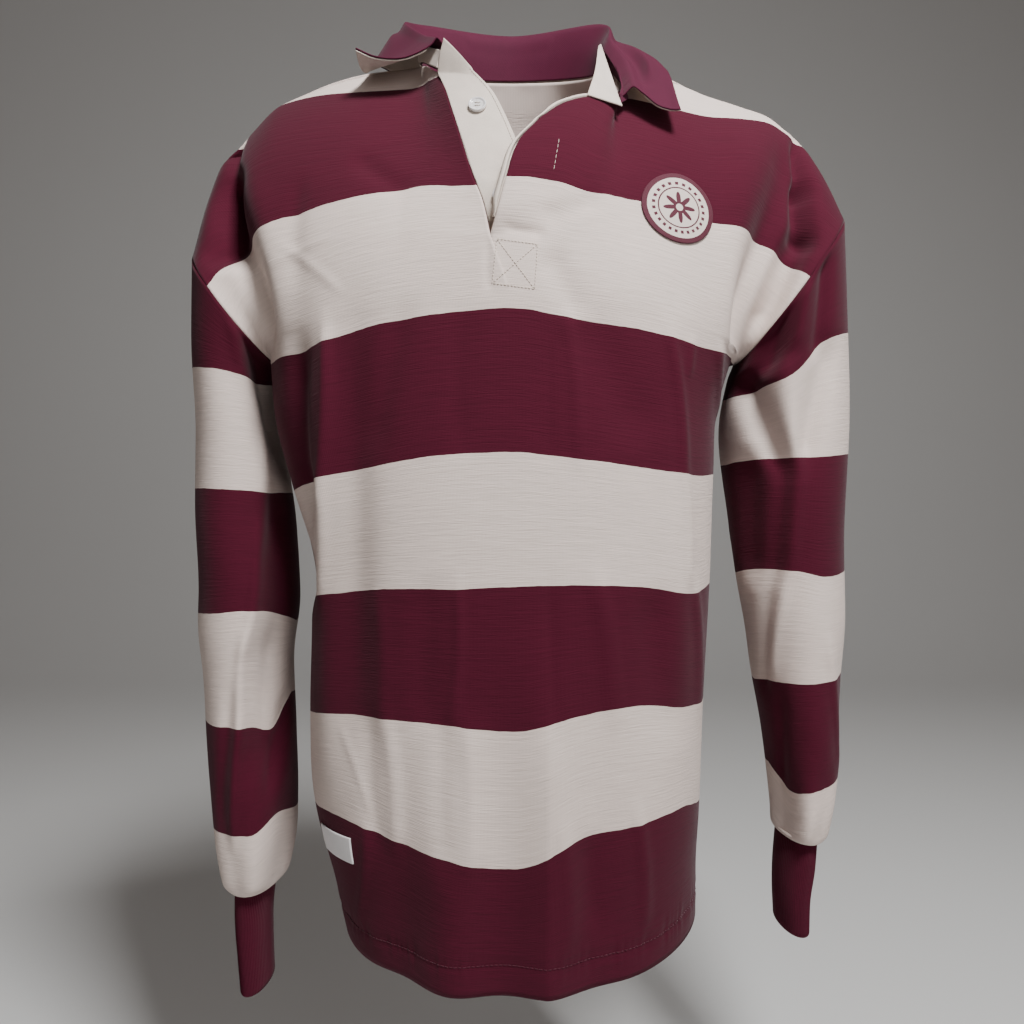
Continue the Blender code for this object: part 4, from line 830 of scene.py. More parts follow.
def cuff_grid(side):
    last = CUFF[side][-1][0]
    ribs = round(0.168 / RIB)
    columns, rows = ribs * 4 + 1, 26
    u, v = np.meshgrid(np.linspace(0, 1, columns), np.linspace(0, 1, rows))
    point = sleeve_ring(side, v * last, u, CUFF[side], CUFF_COLUMNS)
    centre = np.stack([side * read(CUFF[side], CUFF_COLUMNS, "x", v * last),
                       read(CUFF[side], CUFF_COLUMNS, "y", v * last), point[..., 2]], axis=-1)
    out = point - centre
    out /= np.linalg.norm(out, axis=-1, keepdims=True)
    raised = 0.00035 * np.cos(2 * math.pi * ribs * u)
    point = point + out * raised[..., None]
    return point, np.stack([u * 0.168, v * last], axis=-1), side > 0, True


def rib_material(name):
    made, tree, shader = cloth_material(name)
    knit_into(tree, shader, MAROON, 0.22, 0.30, 0.35)
    return made


RIB_KNIT = rib_material("Cuff rib")
for side, name in ((-1, "right"), (1, "left")):
    cuff = sheet_object("cuff_" + name + "_rib", [cuff_grid(side)])
    give_wall(cuff, CLOTH * 0.9)
    cuff.data.materials.append(RIB_KNIT)
    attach(cuff, "root")
    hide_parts("cuff_" + name)


# Collar: a stand and a fall cut in one, maroon twill on the side that shows and ecru inside and
# under the fall, sewn to the neck edge and turned over. It stands open, lapped ends apart.
COLLAR_CLOTH = 0.0010   # each of the collar's two layers
LAYER_GAP = 0.0005      # between the collar's two layers
COLLAR_LIFT_OFF = 0.0016    # how far the stand starts above the neck edge
COLLAR_STATIONS = (0, 0.125, 0.25, 0.375, 0.5, 0.625, 0.75, 0.875, 1)
COLLAR_FOLD = (
    (-0.0550, -0.0640, 0.0046), (-0.0690, -0.0390, 0.0200), (-0.0890, -0.0020, 0.0510),
    (-0.0790, 0.0420, 0.0730), (0.0, 0.0690, 0.0770), (0.0800, 0.0400, 0.0730),
    (0.0820, -0.0030, 0.0350), (0.0905, -0.0370, -0.0050), (0.0900, -0.0660, -0.0370))
COLLAR_EDGE = (
    (-0.1274, -0.0560, 0.0000), (-0.1270, -0.0280, -0.0040), (-0.1180, 0.0140, 0.0180),
    (-0.0860, 0.0740, 0.0270), (0.0, 0.1050, 0.0240), (0.0880, 0.0740, 0.0270),
    (0.1200, 0.0140, 0.0160), (0.1300, -0.0320, -0.0060), (0.1340, -0.0770, -0.0560))
FALL_LIFT = (-0.0095, -0.0040, 0.0080, 0.0080, 0.0060, 0.0080, 0.0100, 0.0080, 0.0040)


def neck_loop(station):
    """The neck edge as the collar follows it, from the slit's edge at -X round to the other end."""
    right = NECK_EDGE[1][3:]
    points = [*NECK_EDGE[-1], *[(-x, y, z) for x, y, z in BACK_NECK[1:]],
              *BACK_NECK[2:0:-1], *right[::-1]]
    at = (0, 0.07, 0.15, 0.25, 0.34, 0.42, 0.50, 0.58, 0.66, 0.75, 0.875, 0.95, 1.0)
    return spline(at, points, station) + np.array([0, 0, COLLAR_LIFT_OFF])


def collar_point(station, across):
    """Point of the collar's upper side. across: 0 at the seam, 0.42 at the fold, 1 at the edge."""
    station, across = np.broadcast_arrays(np.asarray(station, float), np.asarray(across, float))
    seam = neck_loop(station)
    fold, edge, lift = (spline(COLLAR_STATIONS, ring, station)
                        for ring in (COLLAR_FOLD, COLLAR_EDGE, FALL_LIFT))
    lift = lift - 0.0085 * smoothstep(0.86, 1.0, station)
    edge = edge - 0.0035 * smoothstep(0.86, 1.0, station)[..., None] * (0, 0, 1)
    up = np.array([0, 0, 1.0])
    outward = (edge - fold) * (1, 1, 0)
    outward /= np.linalg.norm(outward, axis=-1, keepdims=True)
    rise = fold - seam
    drop = np.clip(0.40 * np.linalg.norm(rise, axis=-1, keepdims=True), 0.0025, 0.0068)
    half = 0.0055 + 0.0020 * smoothstep(0.72, 0.85, station)[..., None]
    stand_mid = seam + 0.5 * rise - 0.0015 * outward
    fold_in = fold - drop * up
    fold_top = fold + half * outward
    fold_out = fold + 2 * half * outward - 0.0056 * up
    fall = edge - fold_out
    fall_a = fold_out + 0.40 * fall + lift[..., None] * up
    fall_b = fold_out + 0.72 * fall + 0.8 * lift[..., None] * up
    knots = (0.0, 0.18, 0.34, 0.42, 0.50, 0.67, 0.82, 1.0)
    rows = np.stack([seam, stand_mid, fold_in, fold_top, fold_out, fall_a, fall_b, edge])
    out = np.empty(across.shape + (3,))
    for value in np.unique(across):
        here = across == value
        out[here] = spline(knots, rows[:, here].reshape(len(knots), -1), value).reshape(-1, 3)
    return out


def collar_normal(station, across):
    d = 4e-3
    a, b = np.clip(station + d, 0, 1), np.clip(station - d, 0, 1)
    c, e = np.clip(across + 0.01, 0, 1), np.clip(across - 0.01, 0, 1)
    out = np.cross(collar_point(a, across) - collar_point(b, across),
                   collar_point(station, c) - collar_point(station, e))
    return out / np.linalg.norm(out, axis=-1, keepdims=True)


def collar_layer(low, high, columns, rows, first, last, lift):
    """A layer of the collar between two shares of its width, moved by lift to its inner side."""
    u, v = np.meshgrid(np.linspace(first, last, columns), np.linspace(low, high, rows))
    point = collar_point(u, v)
    if lift:
        point = point - collar_normal(u, v) * lift
    return point, np.stack([u * 0.46, v * 0.085], axis=-1)


def twill_group():
    """Cotton twill: fine slanting ridges, and cloudy wear."""
    tree = bpy.data.node_groups.new("Cotton twill", "ShaderNodeTree")
    for name, kind, value in (("Flat", "NodeSocketVector", None), ("Dye", "NodeSocketColor", None),
                              ("Cloud", "NodeSocketFloat", 0.2)):
        socket = tree.interface.new_socket(name, in_out="INPUT", socket_type=kind)
        if value is not None:
            socket.default_value = value
    tree.interface.new_socket("Colour", in_out="OUTPUT", socket_type="NodeSocketColor")
    tree.interface.new_socket("Height", in_out="OUTPUT", socket_type="NodeSocketFloat")
    given = tree.nodes.new("NodeGroupInput")
    out = tree.nodes.new("NodeGroupOutput")
    parts = add_node(tree, "SeparateXYZ", {0: given.outputs["Flat"]})
    slant = add_node(tree, "Math", {0: parts.outputs[0], 1: 0.7, 2: parts.outputs[1]},
                     operation="MULTIPLY_ADD")
    turns = add_node(tree, "Math", {0: slant.outputs[0], 1: 2 * math.pi / 0.0009}, operation="MULTIPLY")
    wave = add_node(tree, "Math", {0: turns.outputs[0]}, operation="SINE")
    big = add_node(tree, "VectorMath", {0: given.outputs["Flat"], 1: (70, 70, 1)}, operation="MULTIPLY")
    cloud = add_node(tree, "TexNoise", {"Vector": big.outputs[0], "Scale": 1.0, "Detail": 4.0})
    fine = add_node(tree, "VectorMath", {0: given.outputs["Flat"], 1: (900, 900, 1)}, operation="MULTIPLY")
    grain = add_node(tree, "TexNoise", {"Vector": fine.outputs[0], "Scale": 1.0, "Detail": 1.0})
    mixed = add_node(tree, "Math", {0: cloud.outputs["Fac"], 1: grain.outputs["Fac"]}, operation="ADD")
    centred = add_node(tree, "Math", {0: mixed.outputs[0], 1: 1.0}, operation="SUBTRACT")
    scaled = add_node(tree, "Math", {0: centred.outputs[0], 1: given.outputs["Cloud"], 2: 1.0},
                      operation="MULTIPLY_ADD")
    tint = add_node(tree, "VectorMath", {0: given.outputs["Dye"], "Scale": scaled.outputs[0]},
                    operation="SCALE")
    height = add_node(tree, "Math", {0: wave.outputs[0], 1: 0.5, 2: grain.outputs["Fac"]},
                      operation="MULTIPLY_ADD")
    tree.links.new(tint.outputs[0], out.inputs["Colour"])
    tree.links.new(height.outputs[0], out.inputs["Height"])
    return tree


TWILL = twill_group()


def twill_material(name, colour, roughness, sheen, cloud=0.25, bump=0.35):
    made, tree, shader = cloth_material(name, roughness, sheen)
    weave = tree.nodes.new("ShaderNodeGroup")
    weave.node_tree = TWILL
    weave.inputs["Dye"].default_value = colour
    weave.inputs["Cloud"].default_value = cloud
    tree.links.new(add_node(tree, "UVMap", uv_map="Cloth").outputs[0], weave.inputs["Flat"])
    relief = add_node(tree, "Bump", {"Height": weave.outputs["Height"], "Strength": bump, "Distance": 0.0002})
    tree.links.new(weave.outputs["Colour"], shader.inputs["Base Color"])
    tree.links.new(relief.outputs[0], shader.inputs["Normal"])
    return made


COLLAR_TWILL = twill_material("Collar twill", (0.066, 0.0042, 0.0215, 1), 0.78, 0.05)
ECRU_TWILL = twill_material("Ecru twill", (0.655, 0.570, 0.500, 1), 0.90, 0.05)
COLLAR_LAYERS = (
    ("collar_upper", "collar", 0.0, 1.0, 260, 84, 0.0, 1.0, 0.0,
     COLLAR_TWILL, "collar_maroon", (0.45, 0.085)),
    ("stand_lining", "collar_stand", 0.012, 0.215, 200, 16, 0.005, 0.755, COLLAR_CLOTH + 1.8 * LAYER_GAP,
     ECRU_TWILL, "cream_twill", (0.34, 0.016)),
    ("fall_underside", "under_collar", 0.535, 0.992, 260, 36, 0.003, 0.997, COLLAR_CLOTH + LAYER_GAP,
     ECRU_TWILL, "cream_twill", (0.48, 0.045)),
)
for name, node, low, high, columns, rows, first, last, lift, look, slot, size in COLLAR_LAYERS:
    points, flat = collar_layer(low, high, columns, rows, first, last, lift)
    layer = sheet_object(name, [(points, flat, False, False)])
    give_wall(layer, COLLAR_CLOTH)
    layer.data.materials.append(look)
    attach(layer, "root")
    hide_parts(node)


# Placket: an ecru twill strip that carries the buttons under the open slit, an ecru facing that
# shows as a narrow rim along the lapped edge, and its turned-out end at the collar.
STRIP_COLUMNS = ("height", "free_x", "free_y", "free_z")
STRIP = (
    (0.542, 0.0225, -0.1215, -0.1920), (0.565, 0.0210, -0.1195, -0.1730), (0.600, 0.0165, -0.1145, -0.1440),
    (0.635, 0.0100, -0.1065, -0.1150), (0.665, 0.0020, -0.0975, -0.0890), (0.700, -0.0120, -0.0850, -0.0540),
    (0.730, -0.0235, -0.0765, -0.0330), (0.765, -0.0270, -0.0745, -0.0255))
STRIP_TOP = (-0.0500, -0.0675, 0.0020)
FACING_RIM = 0.0045     # the facing shows this far past the slit's edge
FACING_DEPTH = 0.0038   # how far the facing lies behind the panel's face
FACING_SEAT = 0.0029    # and where its inner edge is sewn down
STAND_FACING = {
    "neck": ((0.0625, -0.0745, -0.0420), (0.0690, -0.0420, -0.0120), (0.0745, -0.0140, 0.0230)),
    "collar": ((0.0872, -0.0745, -0.0515), (0.0830, -0.0450, -0.0190), (0.0765, -0.0150, 0.0240)),
}


def strip_point(share, climb):
    """Point of the button strip. share: 0 at its sewn edge, 1 at its free edge. climb: 0 to 1."""
    share, climb = np.broadcast_arrays(np.asarray(share, float), np.asarray(climb, float))
    height = STRIP[0][0] + climb * (STRIP[-1][0] - STRIP[0][0])
    top = SLIT_EDGE[-1][-1][0]
    sewn = np.stack([read(SLIT_EDGE[-1], SLIT_COLUMNS, c, np.clip(height, SLIT_FOOT_HEIGHT, top))
                     for c in "xyz"], axis=-1)
    sewn[..., 0] += SEAM_GAP * 1.6
    below = np.clip(SLIT_FOOT_HEIGHT - height, 0, 1)
    sewn[..., 2] -= below * 0.95
    sewn[..., 0] += below * 0.10
    above = np.clip((height - top) / (STRIP[-1][0] - top), 0, 1)[..., None]
    sewn += above * (np.array(STRIP_TOP) - sewn)
    free = np.stack([read(STRIP, STRIP_COLUMNS, "free_" + c, height) for c in "xyz"], axis=-1)
    point = sewn + share[..., None] * (free - sewn)
    point[..., 1] -= 0.0018 * 4 * share * (1 - share)
    point[..., 1] += 0.0058 * smoothstep(0.622, 0.580, height)
    return point


def facing_path(low, inner, v):
    """Point of the front half under the facing. inner: 0 at the edge. v: from the slit's foot on."""
    up, onward = np.clip(v / 0.5, 0, 1), np.clip((v - 0.5) / 0.5, 0, 1)
    share = 0.14 * onward + inner * (0.10 - 0.03 * onward)
    return panel(1, -1, share, low + (1 - low - 0.15 * inner) * up)


def numeric_normal(point, u, v):
    """Unit vector square to a sheet given by point(u, v)."""
    d = 2e-3
    a = point(np.clip(u + d, 0, 1), v) - point(np.clip(u - d, 0, 1), v)
    b = point(u, np.clip(v + d, 0, 1)) - point(u, np.clip(v - d, 0, 1))
    out = np.cross(a, b)
    return out / (np.linalg.norm(out, axis=-1, keepdims=True) + 1e-12)


def trim_piece(name, node, points, flat, flip, look):
    trim = sheet_object(name, [(points, flat, flip, False)])
    give_wall(trim, TRIM_CLOTH)
    trim.data.materials.append(look)
    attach(trim, "root")
    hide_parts(node)
    return trim


u, v = np.meshgrid(np.linspace(0, 1, 40), np.linspace(0, 1, 130))
STRIP_LEAN = 0.005      # the strip's top leans this far to the wearer's right
strip_points = strip_point(u, v)
strip_points[..., 0] -= STRIP_LEAN * smoothstep(0.72, 0.95, v)
trim_piece("button_strip", "placket_under", strip_points, np.stack([u * 0.04, v * 0.23], axis=-1),
           False, ECRU_TWILL)


def facing_grid(columns, rows):
    """The facing, with its rim rolled outwards like a cord along the lapped edge."""
    low = foot_rise(1) + 0.10
    u, v = np.meshgrid(np.linspace(0, 1, columns), np.linspace(0, 1, rows))
    over = np.clip((0.16 - u) / 0.16, 0, 1)
    inner = np.clip((u - 0.16) / 0.84, 0, 1)
    point, out = facing_path(low, inner, v)
    step, _ = facing_path(low, inner * 0 + 0.3, v)
    edge, _ = facing_path(low, inner * 0, v)
    away = (edge - step) / np.linalg.norm(edge - step, axis=-1, keepdims=True)
    rim = 1.25 * FACING_RIM * over * (0.35 + 0.65 * smoothstep(0, 0.10, v) * smoothstep(1.0, 0.93, v))
    seated = smoothstep(0.45, 0.90, u) * smoothstep(0.12, 0.30, v) * smoothstep(0.95, 0.75, v)
    depth = FACING_DEPTH - (FACING_DEPTH - FACING_SEAT) * seated
    depth = depth + 0.0050 * smoothstep(0.60, 0.85, v) * smoothstep(0.25, 0.60, u)
    depth = depth - 0.0036 * smoothstep(0.10, 0.45, over) * smoothstep(1.10, 0.70, over)
    return point + away * rim[..., None] - out * depth[..., None], np.stack([u * 0.028, v * 0.2], axis=-1)


points, flat = facing_grid(60, 200)
trim_piece("edge_facing", "placket_facing", points, flat, False, ECRU_TWILL)
u, v = np.meshgrid(np.linspace(0, 1, 24), np.linspace(0, 1, 60))
neck_side, collar_side = along(STAND_FACING["neck"], v), along(STAND_FACING["collar"], v)
foot = smoothstep(0.55, 0.0, v)[..., None]
neck_side = neck_side + foot * (-0.0025, -0.0020, -0.0055)
collar_side = collar_side + foot * (0.0005, -0.0010, -0.0045)
trim_piece("facing_end", "stand_facing", neck_side + u[..., None] * (collar_side - neck_side),
           np.stack([u * 0.02, v * 0.09], axis=-1), False, ECRU_TWILL)


# Buttons: clear four-hole shirt buttons, 14 mm across, turned with a raised rim and sewn to the
# strip with ecru thread through their holes.
BUTTON_RADIUS = 0.0070
BUTTON_THICKNESS = 0.0026
BUTTONS = {"button_top": (0.690, 0.52), "button_lower": (0.603, 0.38)}


def plastic_material():
    """Clear polyester with a pearly cloudiness."""
    made = bpy.data.materials.new("Clear button")
    made.use_nodes = True
    tree = made.node_tree
    shader = tree.nodes["Principled BSDF"]
    place = add_node(tree, "TexCoord").outputs["Object"]
    cloud = add_node(tree, "TexNoise", {"Vector": place, "Scale": 260.0, "Detail": 3.0, "Distortion": 1.2})
    ramp = add_node(tree, "Mix", {0: cloud.outputs["Fac"], 6: (0.50, 0.46, 0.45, 1),
                                  7: (0.86, 0.84, 0.84, 1)}, data_type="RGBA")
    tree.links.new(ramp.outputs[2], shader.inputs["Base Color"])
    shader.inputs["Roughness"].default_value = 0.16
    shader.inputs["Coat Weight"].default_value = 0.6
    shader.inputs["Coat Roughness"].default_value = 0.08
    shader.inputs["Subsurface Weight"].default_value = 0.25
    shader.inputs["Subsurface Radius"].default_value = (0.002, 0.002, 0.002)
    return made


def thread_material(name, colour):
    made, tree, shader = cloth_material(name, 0.7, 0.3)
    place = add_node(tree, "TexCoord").outputs["Object"]
    grain = add_node(tree, "TexNoise", {"Vector": place, "Scale": 900.0, "Detail": 2.0})
    dark = tuple(c * 0.82 for c in colour[:3]) + (1,)
    light = tuple(min(1, c * 1.15) for c in colour[:3]) + (1,)
    tint = add_node(tree, "Mix", {0: grain.outputs["Fac"], 6: dark, 7: light}, data_type="RGBA")
    tree.links.new(tint.outputs[2], shader.inputs["Base Color"])
    return made


PLASTIC = plastic_material()
ECRU_THREAD = thread_material("Ecru thread", (0.66, 0.58, 0.50, 1))
MAROON_THREAD = thread_material("Maroon thread", (0.14, 0.016, 0.042, 1))


def edit(obj):
    bpy.ops.object.select_all(action="DESELECT")
    bpy.context.view_layer.objects.active = obj
    obj.select_set(True)
    bpy.ops.object.mode_set(mode="EDIT")


def done():
    bpy.ops.object.mode_set(mode="OBJECT")
    bpy.ops.object.select_all(action="DESELECT")


def pick_faces(obj, wanted):
    """Selects the faces for which wanted(face) holds, and nothing else, in edit mode."""
    bm = bmesh.from_edit_mesh(obj.data)
    for part in (*bm.verts, *bm.edges, *bm.faces):
        part.select = False
    for face in bm.faces:
        if wanted(face):
            face.select_set(True)
    bm.select_flush_mode()
    bmesh.update_edit_mesh(obj.data)


def apply_modifier(obj, kind, **settings):
    modifier = obj.modifiers.new(kind.title(), kind)
    for name, value in settings.items():
        setattr(modifier, name, value)
    bpy.ops.object.select_all(action="DESELECT")
    bpy.context.view_layer.objects.active = obj
    obj.select_set(True)
    bpy.ops.object.modifier_apply(modifier=modifier.name)
    obj.select_set(False)


def place_and_apply(obj, matrix):
    """Moves a finished piece to its place, which then lies in its mesh."""
    obj.data.transform(matrix)
    obj.matrix_world = Matrix.Identity(4)
    obj.data.update()


for name, (height, share) in BUTTONS.items():
    climb = np.array((height - STRIP[0][0]) / (STRIP[-1][0] - STRIP[0][0]))
    seat = Vector(strip_point(np.array(share), climb))
    out = Vector(numeric_normal(strip_point, np.array(share), climb))
    out = -out if out.y > 0 else out
    bpy.ops.mesh.primitive_cylinder_add(vertices=56, radius=BUTTON_RADIUS, depth=BUTTON_THICKNESS)
    button = bpy.context.object
    button.name = name + "_shell"
    edit(button)
    pick_faces(button, lambda f: f.normal.z > 0.9)
    bpy.ops.mesh.inset(thickness=0.0011)
    bpy.ops.mesh.inset(thickness=0.0010, depth=-0.0009)
    done()
    apply_modifier(button, "BEVEL", width=0.00035, segments=3, limit_method="ANGLE")
    for k in range(4):
        turn = math.pi / 4 + k * math.pi / 2
        bpy.ops.mesh.primitive_cylinder_add(vertices=20, radius=0.0008, depth=0.01,
                                            location=(0.0021 * math.cos(turn), 0.0021 * math.sin(turn), 0))
        drill = bpy.context.object
        apply_modifier(button, "BOOLEAN", operation="DIFFERENCE", object=drill)
        bpy.data.objects.remove(drill)
    button.data.shade_smooth()
    bpy.context.view_layer.objects.active = button
    button.select_set(True)
    bpy.ops.object.shade_smooth_by_angle(angle=math.radians(35))
    button.select_set(False)
    button.data.materials.clear()
    button.data.materials.append(PLASTIC)
    turned = out.to_track_quat("Z", "Y").to_matrix().to_4x4()
    place_and_apply(button, Matrix.Translation(seat + out * (BUTTON_THICKNESS / 2 + 0.0004)) @ turned)
    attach(button, "root")
    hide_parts(name)
    bars = []
    for k in (-1, 1):
        bpy.ops.mesh.primitive_torus_add(major_radius=0.0021, minor_radius=0.00038, major_segments=28,
                                         minor_segments=8, location=(0, k * 0.0015, 0),
                                         rotation=(math.pi / 2, 0, 0))
        bars.append(bpy.context.object)
    bpy.ops.object.select_all(action="DESELECT")
    for bar in bars:
        bar.select_set(True)
    bpy.context.view_layer.objects.active = bars[0]
    bpy.ops.object.join()
    thread = bpy.context.object
    thread.name = name + "_thread"
    bpy.ops.object.transform_apply(location=True, rotation=True, scale=True)
    thread.select_set(False)
    thread.data.transform(Matrix.Diagonal((0.72, 1, 0.52, 1)))
    thread.data.shade_smooth()
    thread.data.materials.append(ECRU_THREAD)
    place_and_apply(thread, Matrix.Translation(seat + out * 0.0016) @ turned)
    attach(thread, "root")


# Stitching: rows of 2.6 to 5 mm a stitch. Ecru thread holds the placket's end as a box with a cross
# in it, a short row of it holds the facing, and one runs along the strip's free edge. Maroon thread
# holds the turned-up hem.


def share_and_rise(side, x, z):
    """Where the front half passes a given x and z, found by Newton's method."""
    at = np.array([0.6, -0.5 if z < -0.25 else 0.4])
    for _ in range(12):
        here = panel(side, -1, at[0], at[1])[0][[0, 2]]
        du = (panel(side, -1, at[0] + 1e-3, at[1])[0][[0, 2]] - here) / 1e-3
        dv = (panel(side, -1, at[0], at[1] + 1e-3)[0][[0, 2]] - here) / 1e-3
        at = at + np.clip(np.linalg.solve(np.stack([du, dv], axis=1), np.array([x, z]) - here), -0.15, 0.15)
    return at


def on_front(side, x, z, right, up, lift):
    """Points of the front half round a given place, moved out by lift. right, up: in metres."""
    at = share_and_rise(side, x, z)
    here = panel(side, -1, at[0], at[1])[0]
    du = (panel(side, -1, at[0] + 1e-3, at[1])[0] - here) / 1e-3
    dv = (panel(side, -1, at[0], at[1] + 1e-3)[0] - here) / 1e-3
    level = np.array([du[0], du[1], 0]) * side
    level /= np.linalg.norm(level)
    normal = np.cross(du, dv)
    steep = np.cross(level, normal / np.linalg.norm(normal))
    steep *= np.sign(steep[2])
    solve = np.linalg.inv(np.array([[du @ level, dv @ level], [du @ steep, dv @ steep]]))
    move = solve @ np.stack([np.ravel(right), np.ravel(up)])
    point, out = panel(side, -1, at[0] + move[0], at[1] + move[1])
    return point + out * lift


def stitch_row(path, normals, pitch=0.0026, thick=0.00032):
    """Verts and faces of the stitches along a path, each a small spindle lying on the cloth."""
    path = np.asarray(path)
    length = np.r_[0, np.cumsum(np.linalg.norm(np.diff(path, axis=0), axis=1))]
    verts, faces = [], []
    for k in range(int(length[-1] / pitch)):
        ends = [np.array([np.interp(s, length, path[:, i]) for i in range(3)])
                for s in ((k + 0.14) * pitch, (k + 0.86) * pitch)]
        up = np.array([np.interp((k + 0.5) * pitch, length, normals[:, i]) for i in range(3)])
        run = ends[1] - ends[0]
        side = np.cross(up, run)
        side /= np.linalg.norm(side)
        first = len(verts)
        for s, size in ((0, 0.35), (0.18, 0.9), (0.5, 1.0), (0.82, 0.9), (1, 0.35)):
            middle = ends[0] + s * run + up * thick * (0.1 + 0.9 * size)
            for j in range(6):
                a = math.pi * j / 3
                verts.append(middle + (side * math.cos(a) + up * 0.8 * math.sin(a)) * thick * size)
        for r in range(4):
            for j in range(6):
                a, b = first + 6 * r + j, first + 6 * r + (j + 1) % 6
                faces.append((a, b, b + 6, a + 6))
        faces.append(tuple(first + j for j in range(5, -1, -1)))
        faces.append(tuple(first + 24 + j for j in range(6)))
    return verts, faces


def stitching(name, rows, look, pitch=0.0026, thick=0.00036):
    """One piece of stitching from rows of (path, normals)."""
    verts, faces = [], []
    for path, normals in rows:
        more, quads = stitch_row(path, normals, pitch, thick)
        faces += [tuple(len(verts) + i for i in quad) for quad in quads]
        verts += [tuple(v) for v in more]
    mesh = bpy.data.meshes.new(name)
    mesh.from_pydata(verts, [], faces)
    mesh.shade_smooth()
    mesh.materials.append(look)
    obj = bpy.data.objects.new(name, mesh)
    bpy.context.scene.collection.objects.link(obj)
    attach(obj, "root")
    return obj


def on_cloth(corners, steps=24):
    """A path on the front through places given as x and z, with the cloth's normal along it."""
    points, normals = [], []
    for k in range(steps * (len(corners) - 1) + 1):
        first = min(k // steps, len(corners) - 2)
        share = k / steps - first
        x, z = (a + (b - a) * share for a, b in zip(corners[first], corners[first + 1]))
        _, place, normal, _ = front.ray_cast(Vector((x, -0.4, z)), Vector((0, 1, 0)))
        points.append(place)
        normals.append(normal)
    return np.array(points), np.array(normals)


BOX = ((-0.0113, -0.1765), (0.0190, -0.1800), (0.0168, -0.2140), (-0.0145, -0.2100))
rows = [on_cloth([*BOX, BOX[0]]), on_cloth([BOX[0], BOX[2]]), on_cloth([BOX[1], BOX[3]])]
stitching("placket_box_stitches", rows, ECRU_THREAD)
rows = [on_cloth(((0.0360, -0.0940), (0.0310, -0.1240)))]
stitching("placket_facing_stitches", rows, ECRU_THREAD, 0.0050, 0.00020)
climb = np.linspace(0.26, 0.99, 120)
path = strip_point(0.925, climb)
path[..., 0] -= STRIP_LEAN * smoothstep(0.72, 0.95, climb)
normals = numeric_normal(strip_point, 0.925 + 0 * climb, climb)
normals *= -np.sign(normals[:, 1:2])
stitching("strip_edge_stitches", [(path, normals)], ECRU_THREAD)


def hem_row(grid):
    """The row of stitches that holds the turned-up hem, on a half of the front or the back."""
    point, flip = grid[0], grid[2]
    row = int(np.argmin(np.abs(length_up(point)[:, 20] - TURN_UP)))
    path = point[row]
    normals = np.cross(np.gradient(path, axis=0), point[row + 1] - point[row - 1])
    normals /= np.linalg.norm(normals, axis=-1, keepdims=True) * (-1 if flip else 1)
    return path, normals


MAROON_THREAD = thread_material("Maroon thread", (0.070, 0.006, 0.019, 1))
stitching("hem_stitches", [hem_row(grid) for grid in FRONT_GRIDS + BACK_GRIDS], MAROON_THREAD,
          0.0034, 0.00046)


# Side vents: the side seams stop 55 mm above the hem, and an ecru cotton tape backs each vent.
def tape_grid(side, columns, rows):
    u, v = np.meshgrid(np.linspace(0, 1, columns), np.linspace(0, 1, rows))
    turn = 2 * u - 1
    point = trunk_ring(0.0015 + v * VENT_HEIGHT, 1 - 0.045 * np.abs(turn), side, -1)
    point[..., 0] -= side * (CLOTH + 0.0011)
    point[..., 1] = 0.0105 * turn
    return point, np.stack([u * 0.021, v * VENT_HEIGHT], axis=-1)


TAPE = twill_material("Cotton tape", (0.66, 0.585, 0.50, 1), 0.88, 0.2, 0.2, 0.5)
for side, name in ((-1, "right"), (1, "left")):
    points, flat = tape_grid(side, 24, 48)
    trim_piece("vent_tape_" + name + "_cloth", "vent_tape_" + name, points, flat, side > 0, TAPE)


# Side label: a bare white satin tab, folded and sewn in low on the wearer's right side.
LABEL = {"x": -0.1395, "z": -0.6405, "width": 0.046, "height": 0.021}
LABEL_SATIN = twill_material("Label satin", (0.74, 0.72, 0.72, 1), 0.55, 0.1, 0.10, 0.15)
u, v = np.meshgrid(np.linspace(0, 1, 30), np.linspace(0, 1, 20))
points = on_front(-1, LABEL["x"], LABEL["z"], (u.ravel() - 0.5) * LABEL["width"],
                  (v.ravel() - 0.5) * LABEL["height"], TRIM_CLOTH + 0.0004).reshape(u.shape + (3,))
trim_piece("side_label_satin", "side_label", points, np.stack([u * 0.046, v * 0.021], axis=-1),
           False, LABEL_SATIN)


